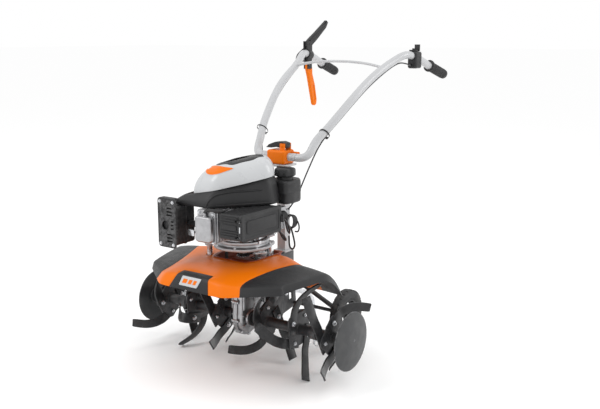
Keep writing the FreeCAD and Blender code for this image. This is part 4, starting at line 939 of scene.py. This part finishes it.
def cylinder_head():
    parts = [rod(38, 96, (0, -187, 510), Y_AXIS, 64)]
    for i in range(13):
        y = -186 + 7.6 * i
        parts.append(slab(rect(-42 - (i % 2), 42 + (i % 2), 458, 562, 8), y, y + 2.4, "y"))
    made = stand_in("cylinder", parts, bevel=0.5)
    carve(made, [rod(84, 112, (0, -12, 422), Z_AXIS, 72)])
    stand_in("rocker_cover", [slab(rect(-33, 33, 462, 545, 12, 6), -213.6, -192, "y")], bevel=7.0, segments=5)
    parts = [slab(rect(-37, 37, 456, 563, 8), -193, -187, "y"),
             slab(rect(-22, 22, 472, 534, 9, 6), -214.0, -213.0, "y"),
             lathe([(0.01, 0), (7.5, 0), (7.5, 5), (6, 6), (6, 16), (0.01, 17)], (0, -200, 540), Z_AXIS, 32)]
    build("rocker_base", parts, "cast_aluminium", bevel=1.0, segments=3)
    spots = [(x, -193, z) for x, z in ((-29, 553), (29, 553), (-30, 461), (30, 461))]
    hex_screws("rocker_screws", spots, (0, -1, 0), 4.6)
    boot = [tube([(22, -172, 545), (25, -180, 556), (34, -188, 562), (52, -186, 563)], 6.4),
            tube([(52, -186, 563), (64, -182, 566), (70, -165, 572)], 3.2)]
    build("plug_boot", boot, "grip_rubber", angle=50)
    build("breather_hose", [tube([(0, -200, 556), (14, -204, 566), (40, -200, 568), (62, -186, 566)], 5.0)],
          "grip_rubber", angle=50)


def crankcase():
    parts = [lathe([(78, 412), (97, 412), (98, 413), (98, 421), (97, 422), (85, 423.5), (84, 426), (84, 432),
                    (89, 433),
                    (90, 434), (90, 441), (89, 442), (84, 443.5), (84, 533), (83, 534), (60, 536), (60, 563),
                    (59, 564), (30, 564), (30, 412), (78, 412)], (0, -12, 0), Z_AXIS, 96),
             slab(rect(-46, 46, 458, 562, 8), -95, -60, "y")]
    for x, y in STANDOFFS:
        parts.append(lathe([(4.1, 412), (16, 412), (17, 413), (17, 421), (16, 422), (9, 424), (4.1, 424),
                            (4.1, 412)], (x, y, 0), Z_AXIS, 40))
    for k in range(18):
        angle = 20 * k
        if 50 < angle < 130:
            continue
        parts.append(turned(block(83, 89.4, -13.4, -10.6, 446, 530), angle, (0, -12, 0), Z_AXIS))
    stand_in("crankcase", parts, bevel=0.7)
    turns = [radians(22.5 + 45 * k) for k in range(8)]
    hex_screws("crankcase_screws", [(93 * cos(a), -12 + 93 * sin(a), 422) for a in turns], Z_AXIS, 4.4)


def linkages():
    """Governor lever, springs, rods and the hoses behind the air box."""
    steel = [helix(4.2, 0.8, 34, 14, (92, 4, 452), Y_AXIS),
             tube([(92, 38, 452), (92, 50, 455), (96, 62, 462)], 1.1),
             tube([(92, 4, 452), (90, -14, 452), (88, -34, 454)], 1.1),
             slab(rect(-40, -28, 434, 470, 4), 88, 90.6, "x"), rod(5, 5, (90, -34, 462), X_AXIS, 28),
             tube([(-42, -96, 470), (-58, -120, 474), (-66, -150, 478), (-66, -182, 480)], 3.6),
             slab(rect(-84, -58, 470, 490, 4), -188, -184, "y")]
    build("governor_links", steel, "bright_steel", bevel=0.2)
    lever = [tube([(60, -40, 448), (90, -60, 448), (126, -74, 462), (138, -60, 470)], 3.0)]
    loops = [tube([(118, 10, 486), (134, 16, 470), (142, 30, 452), (136, 44, 438), (122, 46, 444),
                   (116, 40, 464), (112, 36, 486)], 3.4),
             tube([(140, 8, 520), (150, 22, 510), (152, 40, 486), (146, 52, 462), (134, 56, 470),
                   (130, 50, 500)], 3.0)]
    for k in range(5):
        spin = [(124 + (15 + k) * cos(a), 84 + 3.5 * k + 4 * sin(a), 490 + (24 - k) * sin(a))
                for a in (2 * pi * i / 12 + k for i in range(12))]
        loops.append(tube(spin, 2.7, closed=True))
    loops += [tube([(124, 92, 466), (134, 90, 440), (138, 92, 412), (128, 94, 396), (116, 94, 404),
                    (114, 92, 440)], 3.2),
              tube([(130, 100, 500), (146, 98, 492), (152, 98, 474), (146, 100, 458), (134, 100, 456)], 2.6)]
    build("fuel_hoses", loops + lever, "cable_sheath", angle=50)
    build("choke_boot", [helix(13, 3.2, 30, 6, (124, 22, 520), Y_AXIS)], "grip_rubber")


def tank_and_cap():
    plan = fillet([(56, 46), (146, 30), (154, 60), (150, 112), (128, 138), (56, 140)], 14, 6)
    centre = Vector((104, 88))

    def ring_at(factor, z):
        return [(centre.x + (p.x - centre.x) * factor, centre.y + (p.y - centre.y) * factor, z) for p in plan]
    body = rings([ring_at(0.93, 560), ring_at(0.985, 563), ring_at(1.0, 569), ring_at(1.0, 592),
                  ring_at(1.016, 593.5),
                  ring_at(1.016, 598.5), ring_at(1.0, 600), ring_at(1.0, 622), ring_at(0.98, 630),
                  ring_at(0.92, 634)])
    neck = lathe([(22, 632), (27, 632), (27, 638), (25, 640), (25, 643.6), (22, 643.6), (22, 632)],
                 (102, 88, 0), Z_AXIS, 56)
    stand_in("fuel_tank", [body, neck], angle=50)
    lobes = []
    for z, factor in ((644.4, 0.94), (647.5, 1.0), (664, 0.985), (669, 0.93), (671, 0.82)):
        lobes.append([((34.4 + 1.6 * cos(8 * a)) * factor * cos(a),
                       (34.4 + 1.6 * cos(8 * a)) * factor * sin(a), z)
                      for a in turn(96)])
    knob = put(rings(lobes), (102, 88, 0), Z_AXIS)
    plug = rod(21.8, 20, (102, 88, 626), Z_AXIS, 48)
    bar = slab(rect(70, 134, 81, 95, 6), 668, 674)
    stand_in("fuel_cap", [knob, plug, bar], bevel=0.8, segments=3, limit=38)


covers()
teardrop()
shroud_ridge()
air_box()
exhaust()
cylinder_head()
crankcase()
linkages()
tank_and_cap()


# Cables, ties and grip caps

BAR_POINTS = ((103, 208, 694), (118, 238, 736), (133, 272, 772), (150, 321, 816), (168, 388, 873),
              (183, 468, 931),
              (197, 569, 984), (214, 626, 1012), (230, 672, 1028), (237, 720, 1022), (246, 820, 988),
              (255, 934, 951))


def read_route(name, route):
    """Points of a smooth curve whose control points are the route."""
    data = bpy.data.curves.new(name, "CURVE")
    data.dimensions = "3D"
    spline = data.splines.new("NURBS")
    spline.points.add(len(route) - 1)
    for point, p in zip(spline.points, route):
        point.co = (*place(p), 1.0)
    spline.order_u = 3
    spline.use_endpoint_u = True
    spline.resolution_u = 10
    carrier = bpy.data.objects.new(name, data)
    mesh = bpy.data.meshes.new_from_object(carrier)
    points = [(v.co - Vector((0, AXLE_Y, 0))) * 1000 for v in mesh.vertices]
    bpy.data.objects.remove(carrier)
    bpy.data.meshes.remove(mesh)
    return points


def cables(node_name, routes, radius):
    shells = []
    for route in routes:
        points = read_route(node_name + "_route", route)
        shells.append(sweep(points, circle(radius, 16)))
        for a, b in ((0, 4), (-1, -4)):
            along = (points[b] - points[a]).normalized()
            shells.append(lathe([(radius * 0.5, 0), (radius + 1.3, 0), (radius + 1.5, 1), (radius + 1.5, 13),
                                 (radius + 0.6, 18), (radius * 0.5, 18)], points[a], along, 20))
    made = build(node_name + "_look", shells, "cable_sheath", None, replaces=[node_name], angle=50)
    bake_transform(made)


def below_bar(sideways):
    return [(x + sideways, y + 13, z - 13) for x, y, z in BAR_POINTS[7:0:-1]]


def cable_set():
    lower = [(112, 244, 640), (106, 236, 570), (101, 214, 500), (96, 174, 446), (91, 122, 412), (87, 66, 400),
             (86, 10, 399)]
    inner = [(226, 706, 982), (222, 664, 1000)] + below_bar(4) + lower
    outer = [(251, 706, 1046), (256, 668, 1030), (240, 632, 1004)]
    outer += [(x + 8, y + 1, z) for x, y, z in below_bar(4)[1:]]
    outer += [(x + 9, y + 1, z + 1) for x, y, z in lower[:6]] + [(97, 20, 400)]
    cables("drive_cables", [[(-x, y, z) for x, y, z in route] for route in (inner, outer)], 3.0)
    throttle = [(236, 703.6, 990), (228, 664, 1000)] + below_bar(0)[:-1]
    throttle += [(128, 244, 722), (124, 212, 678), (116, 184, 628), (108, 156, 574), (102, 122, 534),
                 (100, 95.5, 521)]
    cables("throttle_cable", [throttle], 2.5)


def tie(at, along, side):
    """Strap round the bar and the cables under it, with its lock."""
    along = Vector(along).normalized()
    out = Vector((0, 1, -1)).normalized()
    out = (out - along * out.dot(along)).normalized()
    centre = Vector(at) + out * (5.5 if side > 0 else 6.5) + X_AXIS * (0 if side > 0 else -3.5)
    wide = 17.0 if side > 0 else 20.5
    loops = []
    for a in turn(48):
        spoke = X_AXIS * cos(a) * wide + out * sin(a) * 21.5
        grow = spoke.normalized()
        loops.append([centre + spoke + grow * g + along * w for g, w in ((0, -2.4), (1.3, -2.4), (1.3, 2.4),
                                                                         (0, 2.4))])
    lock = [[centre + X_AXIS * x + out * y + along * z for x, y in ((-4, 21), (4, 21), (4, 26), (-4, 26))]
            for z in (-4, 4)]
    return [rings(loops, closed=True), rings(lock)]


def ties_and_caps():
    straps = []
    for side in (1, -1):
        here = Vector(BAR_POINTS[2])
        along = Vector(BAR_POINTS[3]) - Vector(BAR_POINTS[1])
        straps += tie((side * here.x, here.y, here.z), (side * along.x, along.y, along.z), side)
    build("cable_ties", straps, "black_plastic", "handle", bevel=0.4)
    knobs = []
    end = Vector(BAR_POINTS[-1])
    along = (end - Vector(BAR_POINTS[-2])).normalized()
    for side in (1, -1):
        aim = Vector((side * along.x, along.y, along.z))
        start = Vector((side * end.x, end.y, end.z)) - aim * 110
        for i in range(22):
            knobs.append(lathe([(17, 0), (18.9, 0.4), (19.1, 1.3), (18.9, 2.2), (17, 2.6)],
                               start + aim * (13 + 4.4 * i), aim, 40))
    build("grip_rings", knobs, "grip_rubber", "handle", angle=50)


cable_set()
ties_and_caps()


for cad_node in sorted(frame["nodes"]):
    if cad_node not in STOOD_FOR:
        dressed(cad_node)


# Stage, light and camera

def stage():
    floor = bpy.data.meshes.new("studio_floor")
    floor.from_pydata([(x, y, 0) for x, y in rect(-60, 60, -60, 60)], [], [(0, 1, 2, 3)])
    ground = add_object("studio_floor", floor)
    paint = bpy.data.materials.new("studio_floor")
    paint.use_nodes = True
    fill(paint.node_tree.nodes["Principled BSDF"], Base_Color=(0.985, 0.985, 0.985, 1), Roughness=0.9,
         Specular_IOR_Level=0.0)
    floor.materials.append(paint)
    world = bpy.data.worlds.new("studio")
    world.use_nodes = True
    fill(world.node_tree.nodes["Background"], Color=(1, 1, 1, 1), Strength=1.0)
    bpy.context.scene.world = world


def stand_at(made, where, direction):
    """Put a lamp or camera somewhere, facing a direction."""
    made.location = where
    made.rotation_mode = "QUATERNION"
    made.rotation_quaternion = direction.to_track_quat("-Z", "Y")


def lamp(name, where, aim, size, power):
    data = bpy.data.lights.new(name, "AREA")
    data.shape = "RECTANGLE"
    data.size, data.size_y = size
    data.energy = power
    stand_at(add_object(name, data), where, Vector(aim) - Vector(where))


def lights():
    lamp("key_light", (-1.6, -2.6, 3.0), (0, 0, 0.4), (1.6, 1.6), 34)
    lamp("rim_light", (2.8, 1.4, 2.2), (0, 0, 0.5), (1.2, 2.0), 30)
    lamp("top_light", (0, 0.2, 3.6), (0, 0, 0.3), (3.0, 3.0), 10)


def camera():
    azimuth = radians(35.163)
    elevation = radians(11.573)
    data = bpy.data.cameras.new("photo_camera")
    data.lens = 50.0
    data.sensor_width = 36.0
    made = add_object("photo_camera", data)
    back = Vector((sin(azimuth) * cos(elevation), -cos(azimuth) * cos(elevation), sin(elevation)))
    stand_at(made, place((1713, -2113, 1105)), -back)
    bpy.context.scene.camera = made


stage()
lights()
camera()
bpy.context.scene.view_settings.view_transform = "Standard"
